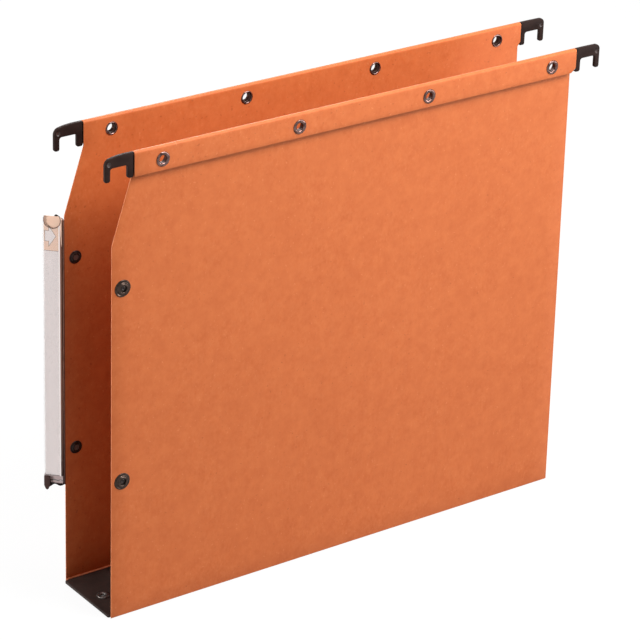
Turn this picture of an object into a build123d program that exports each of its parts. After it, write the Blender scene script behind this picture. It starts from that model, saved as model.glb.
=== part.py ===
"""Hanging file folder for a lateral cabinet.

Two kraft card panels stand on a flat base. Each panel's top edge is folded outwards over a tubular rail whose
ends carry plastic hooks, and rolled eyelets pin the card, the rail and the hooks together. Press studs near the
left edge join neighbouring folders, and a slanted label holder is clipped on the back panel's left edge.

Millimetres, +Z up, X along the folder's width, the front panel on the -Y side. The origin is the middle of the
base's underside.
"""
import os
from math import cos, radians, sin

from build123d import *

os.makedirs("parts", exist_ok=True)

# Card sheet
panel_height = 290.0
base_depth = 50.0
card_thickness = 0.6
hang_side_gap = 6.0
hang_offset = 6.25
corner_cut_height = 39.8
right_edge_lean = 2.2
flap_below_rail = 1.5
flap_corner_run = 3.3
flap_corner_rise = 2.8
crease_gap = 0.1
base_sheet_inset = 2.0

# Base liner and its hollow rivets
plate_thickness = 1.6
plate_front_gap = 0.3
plate_back_gap = 1.0
plate_left_overhang = 1.5
plate_right_inset = 0.5
plate_corner_radius = 0.8
plate_edge_radius = 0.3
rivet_inset = 8.05
rivet_forward = 3.3
rivet_bore_radius = 1.5
rivet_barrel_wall = 0.5
rivet_rim_radius = 3.7
rivet_rim_height = 0.8
rivet_clench_radius = 3.4
rivet_clench_height = 0.4
rivet_floor_gap = 0.1
dimple_clearance = 0.8

# Rails in the folds
rail_thickness = 2.2
rail_height = 10.4
rail_wall = 0.45
rail_end_gap = 0.1
rail_top_gap = 0.85
fold_clearance = 0.05

# Hooks
hook_spacing = 330.0
hook_height = 14.8
hook_notch_width = 11.2
hook_notch_depth = 7.9
hook_outer_leg = 3.4
hook_inner_leg = 3.9
hook_notch_radius = 1.5
leg_round_share = 0.35
left_arch_drop = 2.7
right_arch_drop = 0.5
left_corner_radius = 1.2
right_corner_radius = 3.0
arch_start_share = 0.3
dot_radius = 1.4
dot_depth = 0.6
dot_inset = 2.5
dot_drop = 4.3
tongue_end_margin = 8.6
tongue_clearance = 0.05

# Eyelets
eyelet_count = 4
eyelet_end_inset = 18.4
eyelet_bore_radius = 2.6
eyelet_barrel_wall = 0.25
eyelet_rim_radius = 4.3
eyelet_rim_height = 0.7
eyelet_clench_radius = 4.0
eyelet_clench_height = 0.55
rolled_lip = 0.1
hole_clearance = 0.1

# Press studs
snap_inset = 7.1
snap_foot_rise = 24.7
snap_channel_drop = 24.2
snap_clearance = 0.05
post_cap_radius = 4.0
post_cap_edge = 0.35
post_cap_height = 0.8
post_clench_lip = 0.35
post_clench_height = 0.25
post_clench_room = 0.05
socket_flange_rim = 1.75
socket_flange_thickness = 0.4
socket_collar_wall = 0.9
socket_collar_crown = 0.15
socket_mouth_length = 0.5
spring_room = 0.5
spring_clearance = 0.02
spring_opening = 50.0
stud_flange_radius = 5.0
stud_flange_thickness = 0.45
stud_undercut = 0.25
stud_wall = 0.25
stud_neck_length = 0.6
stud_head_radius = 1.95
stud_head_length = 0.7
stud_crown = 0.25

# Label carrier
label_slant = 45.0
carrier_gap = 0.05
carrier_wall = 0.65
carrier_foot_rise = 2.3
carrier_flange_margin = 0.5
channel_drop = 2.5
blade_width = 12.4
blade_thickness = 1.0
blade_root_inset = 0.9
blade_top_drop = 1.6
blade_hump_rise = 1.3
blade_hump_start = 3.1
blade_hump_width = 3.7
blade_hump_slope = 0.9
blade_corner_drop = 2.0
rib_start = 1.15
rib_width = 0.45
rib_height = 0.8
foot_height = 7.0
foot_front_step = 0.2
ear_width = 3.6
ear_height = 8.8
ear_inset = 0.2
ear_thickness = 1.0
ear_tip_height = 5.0

# Label lens and card
lens_wall = 0.45
lens_side_gap = 0.1
lens_return = 1.2
lens_top_rise = 0.3
lens_foot_overlap = 4.3
lens_corner_radius = 1.5
thumb_cut_margin = 0.9
thumb_cut_drop = 2.6
label_thickness = 0.3
label_gap = 0.3
label_top_drop = 0.9
label_bottom = 70.8

# Room that every cut runs past the face it opens
overrun = 1.0

# Places across the folder
panel_width = hook_spacing - hang_side_gap
left = -panel_width / 2
right = panel_width / 2
flap_length = hook_spacing - hook_notch_width - 2 * hook_inner_leg
flap_left = hang_offset - flap_length / 2
flap_right = hang_offset + flap_length / 2
eyelet_pitch = (flap_length - 2 * eyelet_end_inset) / (eyelet_count - 1)
eyelet_places = [flap_left + eyelet_end_inset + index * eyelet_pitch for index in range(eyelet_count)]
rivet_places = [(left + rivet_inset, -rivet_forward), (right - rivet_inset, -rivet_forward)]

# Distances out from the folder's middle plane
inner_face = base_depth / 2 - card_thickness / 2
outer_face = inner_face + card_thickness
rail_inner = outer_face + fold_clearance
rail_middle = rail_inner + rail_thickness / 2
flap_inner = rail_inner + rail_thickness + fold_clearance
flap_outer = flap_inner + card_thickness
fold_radius = (flap_outer - inner_face) / 2
fold_middle = inner_face + fold_radius

# Heights of the base and of the fold
crease_height = card_thickness / 2
plate_bottom = card_thickness
plate_top = plate_bottom + plate_thickness
dimple_rise = rivet_clench_height + rivet_floor_gap
fold_axis_height = panel_height - fold_radius
eyelet_height = fold_axis_height - rail_top_gap - rail_height / 2
flap_bottom = eyelet_height - rail_height / 2 - flap_below_rail
cut_bottom = flap_bottom - corner_cut_height

# Heights of the label holder and of the studs on its flange
label_top = cut_bottom - label_top_drop
shelf_top = label_bottom - label_gap
foot_bottom = shelf_top - foot_height
channel_top = cut_bottom - channel_drop
snap_x = left + snap_inset
snap_heights = [foot_bottom + snap_foot_rise, channel_top - snap_channel_drop]
snap_places = [(snap_x, height) for height in snap_heights]

# Sizes of the press studs from the stud's head outwards and inwards
stud_neck_radius = stud_head_radius - stud_undercut
stud_pocket_radius = stud_neck_radius - stud_wall
post_clench_radius = stud_pocket_radius - hole_clearance
post_radius = post_clench_radius - post_clench_lip
socket_mouth_radius = stud_head_radius + snap_clearance
socket_chamber_radius = socket_mouth_radius + spring_room
socket_collar_radius = socket_chamber_radius + socket_collar_wall
socket_flange_radius = socket_collar_radius + socket_flange_rim
chamber_depth = post_clench_height + post_clench_room

# Holes that fasteners pass through
eyelet_barrel_radius = eyelet_bore_radius + eyelet_barrel_wall
eyelet_hole_radius = eyelet_barrel_radius + hole_clearance
rivet_barrel_radius = rivet_bore_radius + rivet_barrel_wall
rivet_hole_radius = rivet_barrel_radius + hole_clearance
post_hole_radius = post_radius + hole_clearance
dimple_radius = rivet_clench_radius + dimple_clearance

# Front panel: card sheet, folded flap, rounded fold and crease
with BuildPart() as front_panel:
    with BuildSketch(Plane.XZ.offset(inner_face)):
        with BuildLine():
            Polyline(
                (left, crease_height),
                (right, crease_height),
                (right - right_edge_lean, flap_bottom),
                (flap_right, flap_bottom + flap_corner_rise),
                (flap_right, fold_axis_height),
                (flap_left, fold_axis_height),
                (flap_left, flap_bottom),
                (left, cut_bottom),
                close=True,
            )
        make_face()
    extrude(amount=card_thickness)
    with BuildSketch(Plane.XZ.offset(flap_inner)):
        with BuildLine():
            Polyline(
                (flap_left, flap_bottom),
                (flap_right - flap_corner_run, flap_bottom),
                (flap_right, flap_bottom + flap_corner_rise),
                (flap_right, fold_axis_height),
                (flap_left, fold_axis_height),
                close=True,
            )
        make_face()
    extrude(amount=card_thickness)
    with BuildSketch(Plane.YZ.offset(flap_left)):
        with Locations((-fold_middle, fold_axis_height)):
            Circle(fold_radius)
            Circle(fold_radius - card_thickness, mode=Mode.SUBTRACT)
            Rectangle(
                2 * fold_radius,
                fold_radius,
                align=(Align.CENTER, Align.MAX),
                mode=Mode.SUBTRACT,
            )
    extrude(amount=flap_length)
    with BuildSketch(Plane.YZ.offset(left)):
        with Locations((-base_depth / 2, crease_height)):
            Circle(card_thickness / 2)
    extrude(amount=panel_width)
    with BuildSketch(Plane.XZ.offset(inner_face - overrun)):
        with Locations(*[(x, eyelet_height) for x in eyelet_places]):
            Circle(eyelet_hole_radius)
        with Locations(*snap_places):
            Circle(post_hole_radius)
    extrude(amount=flap_outer - inner_face + 2 * overrun, mode=Mode.SUBTRACT)

# Back panel: the front panel's mirror image
with BuildPart() as back_panel:
    mirror(front_panel.part, about=Plane.XZ)

# Base sheet: the card between the two creases, pressed up under each rivet
sheet_half_depth = inner_face - crease_gap
with BuildPart() as base_sheet:
    with BuildSketch():
        Rectangle(panel_width - 2 * base_sheet_inset, 2 * sheet_half_depth)
    extrude(amount=card_thickness)
    with BuildSketch(Plane.XY.offset(dimple_rise)):
        with Locations(*rivet_places):
            Circle(dimple_radius + card_thickness)
    extrude(amount=card_thickness)
    with BuildSketch():
        with Locations(*rivet_places):
            Circle(dimple_radius)
    extrude(amount=dimple_rise, mode=Mode.SUBTRACT)
    with BuildSketch():
        with Locations(*rivet_places):
            Circle(rivet_hole_radius)
    extrude(amount=plate_top, mode=Mode.SUBTRACT)

# Base plate: the black liner board on the card
plate_left = left - plate_left_overhang
plate_right = right - plate_right_inset
plate_front = plate_front_gap - inner_face
plate_back = inner_face - plate_back_gap
with BuildPart() as base_plate:
    with BuildSketch(Plane.XY.offset(plate_bottom)):
        with Locations(((plate_left + plate_right) / 2, (plate_front + plate_back) / 2)):
            RectangleRounded(
                plate_right - plate_left,
                plate_back - plate_front,
                plate_corner_radius,
            )
    extrude(amount=plate_thickness)
    fillet(base_plate.faces().sort_by(Axis.Z)[-1].edges(), plate_edge_radius)
    with BuildSketch(Plane.XY.offset(plate_bottom)):
        with Locations(*rivet_places):
            Circle(dimple_radius + card_thickness + hole_clearance)
    extrude(amount=dimple_rise, mode=Mode.SUBTRACT)
    with BuildSketch(Plane.XY.offset(plate_bottom)):
        with Locations(*rivet_places):
            Circle(rivet_hole_radius)
    extrude(amount=plate_thickness, mode=Mode.SUBTRACT)


def rolled_ring(plane, bore, barrel, stack, rim, rim_height, clench, clench_height):
    """Half section of an eyelet: radius across, height up from the face that the rim bears on."""
    with BuildSketch(plane) as section:
        with BuildLine():
            Polyline(
                (rim, 0),
                (barrel, 0),
                (barrel, -stack),
                (clench, -stack),
            )
            ThreePointArc(
                (clench, -stack),
                ((clench + bore) / 2, -stack - clench_height),
                (bore, -stack - rolled_lip),
            )
            Line((bore, -stack - rolled_lip), (bore, rolled_lip))
            ThreePointArc((bore, rolled_lip), ((bore + rim) / 2, rim_height), (rim, 0))
        make_face()
    return section.sketch


# Base rivets: hollow rivets through the liner and the card
with BuildPart() as base_rivets:
    for x, y in rivet_places:
        ring = rolled_ring(
            Plane((x, y, plate_top), x_dir=(1, 0, 0), z_dir=(0, -1, 0)),
            rivet_bore_radius,
            rivet_barrel_radius,
            plate_top - dimple_rise,
            rivet_rim_radius,
            rivet_rim_height,
            rivet_clench_radius,
            rivet_clench_height,
        )
        revolve(ring, axis=Axis((x, y, 0), (0, 0, 1)))


def front_station(x, distance, z):
    """Plane of a half section on the front panel: radius along X, height outwards."""
    return Plane((x, -distance, z), x_dir=(1, 0, 0), z_dir=(0, 0, -1))


def back_station(x, distance, z):
    """Plane of a half section on the back panel: radius along X, height outwards."""
    return Plane((x, distance, z), x_dir=(1, 0, 0), z_dir=(0, 0, 1))


# Eyelets: rolled rings through the flap, the rail and the panel
with BuildPart() as front_eyelets:
    for x in eyelet_places:
        ring = rolled_ring(
            front_station(x, flap_outer, eyelet_height),
            eyelet_bore_radius,
            eyelet_barrel_radius,
            flap_outer - inner_face,
            eyelet_rim_radius,
            eyelet_rim_height,
            eyelet_clench_radius,
            eyelet_clench_height,
        )
        revolve(ring, axis=Axis((x, 0, eyelet_height), (0, 1, 0)))

with BuildPart() as back_eyelets:
    mirror(front_eyelets.part, about=Plane.XZ)

# Rails: flat tubes in the folds
rail_length = flap_length - 2 * rail_end_gap
with BuildPart() as front_rail:
    with BuildSketch(Plane.YZ.offset(flap_left + rail_end_gap)):
        with Locations((-rail_middle, eyelet_height)):
            Rectangle(rail_thickness, rail_height)
            Rectangle(
                rail_thickness - 2 * rail_wall,
                rail_height - 2 * rail_wall,
                mode=Mode.SUBTRACT,
            )
    extrude(amount=rail_length)
    with BuildSketch(Plane.XZ.offset(outer_face)):
        with Locations(*[(x, eyelet_height) for x in eyelet_places]):
            Circle(eyelet_hole_radius)
    extrude(amount=flap_inner - outer_face, mode=Mode.SUBTRACT)

with BuildPart() as back_rail:
    mirror(front_rail.part, about=Plane.XZ)

# Hooks: notched plates with a tongue in the end of the rail
hook_bottom = panel_height - hook_height
hook_roof = hook_bottom + hook_notch_depth
hook_reach = hook_inner_leg + hook_notch_width + hook_outer_leg
leg_radius = leg_round_share * min(hook_inner_leg, hook_outer_leg)
tongue_length = eyelet_end_inset + tongue_end_margin
tongue_height = rail_height - 2 * (rail_wall + tongue_clearance)
tongue_thickness = rail_thickness - 2 * (rail_wall + tongue_clearance)


def hook_outline(end, side, arch_drop, corner_radius):
    """Outline of a hook, drawn outwards from the end of the flap."""
    outer = end + side * hook_reach
    notch_out = end + side * (hook_inner_leg + hook_notch_width)
    notch_in = end + side * hook_inner_leg
    arch_start = end + side * hook_reach * arch_start_share
    with BuildSketch(Plane.XZ.offset(rail_inner)) as outline:
        with BuildLine():
            Line((end, panel_height), (arch_start, panel_height))
            TangentArc(
                (arch_start, panel_height),
                (outer, panel_height - arch_drop),
                tangent=(side, 0),
            )
            Polyline(
                (outer, panel_height - arch_drop),
                (outer, hook_bottom),
                (notch_out, hook_bottom),
                (notch_out, hook_roof),
                (notch_in, hook_roof),
                (notch_in, hook_bottom),
                (end, hook_bottom),
                (end, panel_height),
            )
        make_face()
        levels = outline.vertices().group_by(Axis.Y)
        fillet(levels[0], leg_radius)
        fillet(levels[1], hook_notch_radius)
        fillet(levels[2], corner_radius)
    return outline.sketch


def hook_dot(end, side, distance):
    """Round dot in a face of a hook, near its outer corner."""
    with BuildSketch(Plane.XZ.offset(distance)) as dot:
        with Locations((end + side * (hook_reach - dot_inset), panel_height - dot_drop)):
            Circle(dot_radius)
    return dot.sketch


def hook_tongue(end, side, eyelet_place):
    """Outline of the tongue inside the rail, with a hole for the end eyelet."""
    with BuildSketch(Plane.XZ.offset(rail_middle - tongue_thickness / 2)) as tongue:
        with Locations((end - side * tongue_length / 2, eyelet_height)):
            Rectangle(tongue_length, tongue_height)
        with Locations((eyelet_place, eyelet_height)):
            Circle(eyelet_hole_radius, mode=Mode.SUBTRACT)
    return tongue.sketch


dot_starts = (rail_inner, rail_inner + rail_thickness - dot_depth)

with BuildPart() as front_left_hook:
    extrude(hook_outline(flap_left, -1, left_arch_drop, left_corner_radius), amount=rail_thickness)
    for start in dot_starts:
        extrude(hook_dot(flap_left, -1, start), amount=dot_depth, mode=Mode.SUBTRACT)
    extrude(hook_tongue(flap_left, -1, eyelet_places[0]), amount=tongue_thickness)

with BuildPart() as front_right_hook:
    extrude(hook_outline(flap_right, 1, right_arch_drop, right_corner_radius), amount=rail_thickness)
    for start in dot_starts:
        extrude(hook_dot(flap_right, 1, start), amount=dot_depth, mode=Mode.SUBTRACT)
    extrude(hook_tongue(flap_right, 1, eyelet_places[-1]), amount=tongue_thickness)

with BuildPart() as back_left_hook:
    mirror(front_left_hook.part, about=Plane.XZ)

with BuildPart() as back_right_hook:
    mirror(front_right_hook.part, about=Plane.XZ)

# Press stud posts: domed caps inside the folder, shanks through the card, clenched ends outside it
front_grip = card_thickness + socket_flange_thickness
carrier_flange_outer = outer_face + carrier_gap + carrier_wall
back_grip = carrier_flange_outer - inner_face + stud_flange_thickness


def post_section(plane, grip):
    """Half section of a post: height along the shank, up from the card face that the cap bears on."""
    with BuildSketch(plane) as section:
        with BuildLine():
            Polyline(
                (0, -post_cap_height),
                (0, grip + post_clench_height),
                (post_radius, grip + post_clench_height),
                (post_clench_radius, grip),
                (post_radius, grip),
                (post_radius, 0),
                (post_cap_radius, 0),
                (post_cap_radius, -post_cap_edge),
            )
            TangentArc((0, -post_cap_height), (post_cap_radius, -post_cap_edge), tangent=(1, 0))
        make_face()
    return section.sketch


with BuildPart() as front_snap_posts:
    for x, z in snap_places:
        section = post_section(front_station(x, inner_face, z), front_grip)
        revolve(section, axis=Axis((x, 0, z), (0, 1, 0)))

with BuildPart() as back_snap_posts:
    for x, z in snap_places:
        section = post_section(back_station(x, inner_face, z), back_grip)
        revolve(section, axis=Axis((x, 0, z), (0, 1, 0)))

# Press stud sockets: flanged collars outside the front panel, with a chamber for the spring ring
socket_mouth_floor = socket_flange_thickness + chamber_depth
socket_mouth_top = socket_mouth_floor + socket_mouth_length
socket_height = socket_mouth_top + socket_collar_crown
with BuildPart() as front_snap_sockets:
    for x, z in snap_places:
        with BuildSketch(front_station(x, outer_face, z)):
            with BuildLine():
                Polyline(
                    (socket_collar_radius, socket_flange_thickness),
                    (socket_flange_radius, socket_flange_thickness / 2),
                    (socket_flange_radius, 0),
                    (post_hole_radius, 0),
                    (post_hole_radius, socket_flange_thickness),
                    (socket_chamber_radius, socket_flange_thickness),
                    (socket_chamber_radius, socket_mouth_floor),
                    (socket_mouth_radius, socket_mouth_floor),
                    (socket_mouth_radius, socket_mouth_top),
                )
                ThreePointArc(
                    (socket_mouth_radius, socket_mouth_top),
                    ((socket_mouth_radius + socket_collar_radius) / 2, socket_height),
                    (socket_collar_radius, socket_flange_thickness),
                )
            make_face()
        revolve(axis=Axis((x, 0, z), (0, 1, 0)))

# Spring rings: open wire rings in the sockets' chambers
spring_wire_radius = chamber_depth / 2 - spring_clearance
spring_height = socket_flange_thickness + chamber_depth / 2
spring_radius = socket_chamber_radius - spring_wire_radius - hole_clearance
with BuildPart() as front_snap_springs:
    for x, z in snap_places:
        with BuildSketch(front_station(x, outer_face + spring_height, z)):
            with Locations((spring_radius, 0)):
                Circle(spring_wire_radius)
        revolve(axis=Axis((x, 0, z), (0, 1, 0)), revolution_arc=360 - spring_opening)

# Press studs: flanged studs outside the label carrier's flange
stud_neck_top = stud_flange_thickness + stud_neck_length
stud_top = stud_neck_top + stud_head_length + stud_crown
stud_pocket_top = stud_flange_thickness + post_clench_height + hole_clearance
with BuildPart() as back_snap_studs:
    for x, z in snap_places:
        with BuildSketch(back_station(x, carrier_flange_outer, z)):
            with BuildLine():
                Polyline(
                    (0, stud_top),
                    (0, stud_pocket_top),
                    (stud_pocket_radius, stud_pocket_top),
                    (stud_pocket_radius, stud_flange_thickness),
                    (post_hole_radius, stud_flange_thickness),
                    (post_hole_radius, 0),
                    (stud_flange_radius, 0),
                    (stud_flange_radius, stud_flange_thickness / 2),
                    (stud_neck_radius, stud_flange_thickness),
                    (stud_neck_radius, stud_neck_top),
                    (stud_head_radius, stud_neck_top),
                    (stud_head_radius, stud_neck_top + stud_head_length),
                )
                TangentArc(
                    (stud_head_radius, stud_neck_top + stud_head_length),
                    (stud_head_radius - stud_crown, stud_top),
                    tangent=(0, 1),
                )
                Line((stud_head_radius - stud_crown, stud_top), (0, stud_top))
            make_face()
        revolve(axis=Axis((x, 0, z), (0, 1, 0)))

# Label holder's slanted face: local x runs out from the panel's edge, local y is height, normal points behind
slant = radians(label_slant)
blade_root = (left + blade_root_inset, outer_face + carrier_gap, 0)
label_face = Plane(blade_root, x_dir=(-cos(slant), sin(slant), 0), z_dir=(sin(slant), cos(slant), 0))
lens_top = label_top + lens_top_rise
lens_bottom = shelf_top - lens_foot_overlap
lens_start = rib_start + rib_width + lens_side_gap
lens_inner = 2 * label_gap + label_thickness
lens_outer = lens_inner + lens_wall
lens_end = blade_width + lens_side_gap + lens_wall
thumb_cut_radius = (lens_end - lens_start) / 2 - thumb_cut_margin
card_start = lens_start + lens_wall + label_gap
card_end = blade_width - label_gap
blade_top = cut_bottom - blade_top_drop


def slanted_strip(start, end, bottom, top, near):
    """Rectangle on the slanted face, at a distance towards the viewer."""
    with BuildSketch(label_face.offset(-near)) as strip:
        with Locations(((start + end) / 2, (bottom + top) / 2)):
            Rectangle(end - start, top - bottom)
    return strip.sketch


# Label carrier: web along the panel's edge, flange under the studs, slanted blade, foot and finger ear
web_outer = left - carrier_gap - carrier_wall
flange_end = snap_x + stud_flange_radius + carrier_flange_margin
with BuildPart() as label_carrier:
    with BuildSketch(Plane.XY.offset(foot_bottom + carrier_foot_rise)):
        with BuildLine():
            Polyline(
                (web_outer, inner_face),
                (web_outer, carrier_flange_outer),
                (flange_end, carrier_flange_outer),
                (flange_end, outer_face + carrier_gap),
                (left - carrier_gap, outer_face + carrier_gap),
                (left - carrier_gap, inner_face),
                close=True,
            )
        make_face()
    extrude(amount=channel_top - foot_bottom - carrier_foot_rise)
    with BuildSketch(label_face):
        with BuildLine():
            Polyline(
                (0, foot_bottom),
                (blade_width, foot_bottom),
                (blade_width, blade_top),
                (blade_hump_start + blade_hump_width, blade_top),
                (blade_hump_start + blade_hump_width - blade_hump_slope, blade_top + blade_hump_rise),
                (blade_hump_start + blade_hump_slope, blade_top + blade_hump_rise),
                (blade_hump_start, blade_top),
                (0, blade_top - blade_corner_drop),
                close=True,
            )
        make_face()
    extrude(amount=blade_thickness)
    rib = slanted_strip(rib_start, rib_start + rib_width, foot_bottom, channel_top, 0)
    extrude(rib, amount=-rib_height)
    shelf = slanted_strip(lens_start + lens_wall + lens_side_gap, blade_width, foot_bottom, shelf_top, 0)
    extrude(shelf, amount=lens_side_gap - lens_inner)
    boss = slanted_strip(rib_start, lens_end, foot_bottom, lens_bottom - lens_side_gap, -blade_thickness)
    extrude(boss, amount=-blade_thickness - lens_outer - foot_front_step)
    ear_end = lens_end - ear_inset
    ear_top = shelf_top
    ear_middle = ear_end - ear_width / 2
    ear_shoulder = ear_top - ear_height + ear_tip_height
    with BuildSketch(label_face.offset(-lens_outer - lens_side_gap)):
        with BuildLine():
            Polyline(
                (ear_end, ear_shoulder),
                (ear_end, ear_top),
                (ear_end - ear_width, ear_top),
                (ear_end - ear_width, ear_shoulder),
            )
            EllipticalCenterArc(
                (ear_middle, ear_shoulder),
                ear_width / 2,
                ear_tip_height,
                start_angle=180,
                arc_size=180,
            )
        make_face()
    extrude(amount=-ear_thickness)
    with BuildSketch(Plane.XZ.offset(-outer_face)):
        with Locations(*snap_places):
            Circle(post_hole_radius)
    extrude(amount=outer_face - carrier_flange_outer - overrun, mode=Mode.SUBTRACT)

# Label lens: clear front with a thumb cut, a side wall on the rib and a lip behind the blade
with BuildPart() as label_lens:
    with BuildSketch(label_face.offset(-lens_inner)) as lens_front:
        with Locations(((lens_start + lens_end) / 2, (lens_bottom + lens_top) / 2)):
            Rectangle(lens_end - lens_start, lens_top - lens_bottom)
        fillet(lens_front.vertices().group_by(Axis.Y)[-1], lens_corner_radius)
        with Locations(((lens_start + lens_end) / 2, lens_top - thumb_cut_drop)):
            Circle(thumb_cut_radius, mode=Mode.SUBTRACT)
    extrude(amount=-lens_wall)
    wall_top = lens_top - lens_corner_radius
    back_face = -blade_thickness - lens_side_gap
    inner_wall = slanted_strip(lens_start, lens_start + lens_wall, lens_bottom, wall_top, lens_side_gap)
    extrude(inner_wall, amount=lens_side_gap - lens_inner)
    outer_wall = slanted_strip(lens_end - lens_wall, lens_end, lens_bottom, wall_top, back_face)
    extrude(outer_wall, amount=back_face - lens_inner)
    back_lip = slanted_strip(lens_end - lens_return, lens_end, lens_bottom, wall_top, back_face)
    extrude(back_lip, amount=lens_wall)

# Label card in the holder's pocket
with BuildPart() as label_card:
    card = slanted_strip(card_start, card_end, label_bottom, label_top, label_gap)
    extrude(card, amount=-label_thickness)

nodes = {
    "front_panel": front_panel,
    "back_panel": back_panel,
    "base_sheet": base_sheet,
    "base_plate": base_plate,
    "base_rivets": base_rivets,
    "front_rail": front_rail,
    "back_rail": back_rail,
    "front_left_hook": front_left_hook,
    "front_right_hook": front_right_hook,
    "back_left_hook": back_left_hook,
    "back_right_hook": back_right_hook,
    "front_eyelets": front_eyelets,
    "back_eyelets": back_eyelets,
    "front_snap_sockets": front_snap_sockets,
    "front_snap_springs": front_snap_springs,
    "front_snap_posts": front_snap_posts,
    "back_snap_studs": back_snap_studs,
    "back_snap_posts": back_snap_posts,
    "label_carrier": label_carrier,
    "label_lens": label_lens,
    "label_card": label_card,
}
for node_name, node in nodes.items():
    node.part.label = node_name
    export_step(node.part, f"parts/{node_name}.step")
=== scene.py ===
"""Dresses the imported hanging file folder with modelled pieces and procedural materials."""
import math

import bmesh
import bpy
from bpy.props import FloatProperty, FloatVectorProperty, IntProperty, PointerProperty
from mathutils import Matrix, Vector


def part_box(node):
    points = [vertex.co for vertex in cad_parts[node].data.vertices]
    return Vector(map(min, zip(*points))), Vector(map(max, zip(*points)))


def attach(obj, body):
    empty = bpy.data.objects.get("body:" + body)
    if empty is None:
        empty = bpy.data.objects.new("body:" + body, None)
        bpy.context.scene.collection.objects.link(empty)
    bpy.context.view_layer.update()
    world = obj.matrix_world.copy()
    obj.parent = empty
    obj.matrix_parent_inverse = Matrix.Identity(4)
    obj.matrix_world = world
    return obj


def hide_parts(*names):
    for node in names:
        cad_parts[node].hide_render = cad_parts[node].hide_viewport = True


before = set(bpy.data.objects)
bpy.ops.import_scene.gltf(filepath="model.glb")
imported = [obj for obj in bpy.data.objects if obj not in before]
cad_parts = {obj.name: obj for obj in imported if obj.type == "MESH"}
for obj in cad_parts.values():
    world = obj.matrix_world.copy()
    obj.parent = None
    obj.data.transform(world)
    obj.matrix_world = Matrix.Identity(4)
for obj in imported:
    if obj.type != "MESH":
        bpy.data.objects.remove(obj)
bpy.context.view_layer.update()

bl_info = {
    "name": "Lateral Hanging File Folder",
    "version": (1, 0, 0),
    "blender": (4, 5, 0),
    "location": "View3D > Sidebar > Folder",
    "description": "Models the folder's card, hooks, fittings, base and label holder on the packed frame",
    "category": "Add Mesh",
}

MM = 0.001

# Turn that stands a flat primitive up, facing the front
UPRIGHT = (math.pi / 2, 0, 0)

# Places of CAD nodes that the pieces are fitted to
PANEL_LOW, PANEL_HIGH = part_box("front_panel")
HOOK_LOW, HOOK_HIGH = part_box("front_left_hook")
RIGHT_HOOK_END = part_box("front_right_hook")[1].x
EYELETS_LOW, EYELETS_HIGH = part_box("front_eyelets")
SOCKETS_LOW, SOCKETS_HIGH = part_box("front_snap_sockets")
PLATE_LOW, PLATE_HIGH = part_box("base_plate")
RIVETS_LOW, RIVETS_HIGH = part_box("base_rivets")

# Ball that presses a dot into a hook: radius, distance off the face, and place from the hook's end and top
DOT_RADIUS = 2.21 * MM
DOT_AWAY = 1.71 * MM
DOT_IN = 2.5 * MM
DOT_DOWN = 4.3 * MM

# Tongue of a hook and its hole, from the flap's end and the hook's lower edge
TONGUE_LENGTH = 27 * MM
TONGUE_INSET = 0.5 * MM
TONGUE_LOW = 2.3 * MM
TONGUE_HIGH = 11.7 * MM
TONGUE_HOLE_IN = 18.4 * MM
TONGUE_HOLE_UP = 7.0 * MM
TONGUE_HOLE_RADIUS = 2.95 * MM

# Lens across the label holder in millimetres, and heights between which the carrier darkens to its ear, a
# painted shade falling off downwards
LENS_START = 1.7
LENS_PAST_BLADE = 0.55
THUMB_RADIUS = 4.725
SHADE_FADE_TO_EAR = (125.0, 68.0)

# Colour of the tarnish on the eyelets
NICKEL_TARNISH = (0.050, 0.022, 0.018)

# Floor: how far it is below the base, its width, its grey, and its glow where it is seen; aim of the lights
FLOOR_DOWN = 0.2 * MM
FLOOR_WIDTH = 8
FLOOR_GREY = 0.4
FLOOR_GLOW = 0.93
LIGHT_AIM = Vector((0, 0, 0.15))


def length(name, description, default):
    """A length in metres, given in millimetres."""
    return FloatProperty(name=name, description=description, default=default * MM, unit="LENGTH", precision=5)


def colour(name, description, default):
    """A linear colour."""
    return FloatVectorProperty(
        name=name, description=description, default=default, subtype="COLOR", size=3, min=0, max=1)


def power(name, description, default):
    """The power of a lamp."""
    return FloatProperty(name=name, description=description, default=default, unit="POWER", min=0)


class CardSizes(bpy.types.PropertyGroup):
    """Sizes and colours of the card sheet"""
    thickness: length("Card thickness", "Thickness of the card", 0.6)
    flap_height: length("Flap height", "Height of the flap folded over the rail", 14.5)
    flap_left: length("Flap left end", "Place of the flap's left end along the folder", -149.25)
    flap_right: length("Flap right end", "Place of the flap's right end along the folder", 161.75)
    corner_cut: length("Corner cut", "Height of the slanted cut under the left hook", 39.8)
    edge_lean: length("Right edge lean", "How far the right edge leans in at the flap", 2.2)
    corner_run: length("Flap corner run", "Width of the cut at the flap's lower right corner", 3.3)
    corner_rise: length("Flap corner rise", "Height of the cut at the flap's lower right corner", 2.8)
    bow: length("Bow", "How far the middle of a panel bows outwards", 0.5)
    press: FloatProperty(
        name="Press", description="How round the fold is, from flat to a half circle", default=0.6)
    cut_round: length("Cut rounding", "Rounding of the card's cut edges", 0.14)
    face_colour: colour("Card colour", "Colour of the card's faces", (0.560, 0.1265, 0.030))
    edge_colour: colour("Cut edge colour", "Colour of the card's cut edges", (0.560, 0.155, 0.055))


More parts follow.
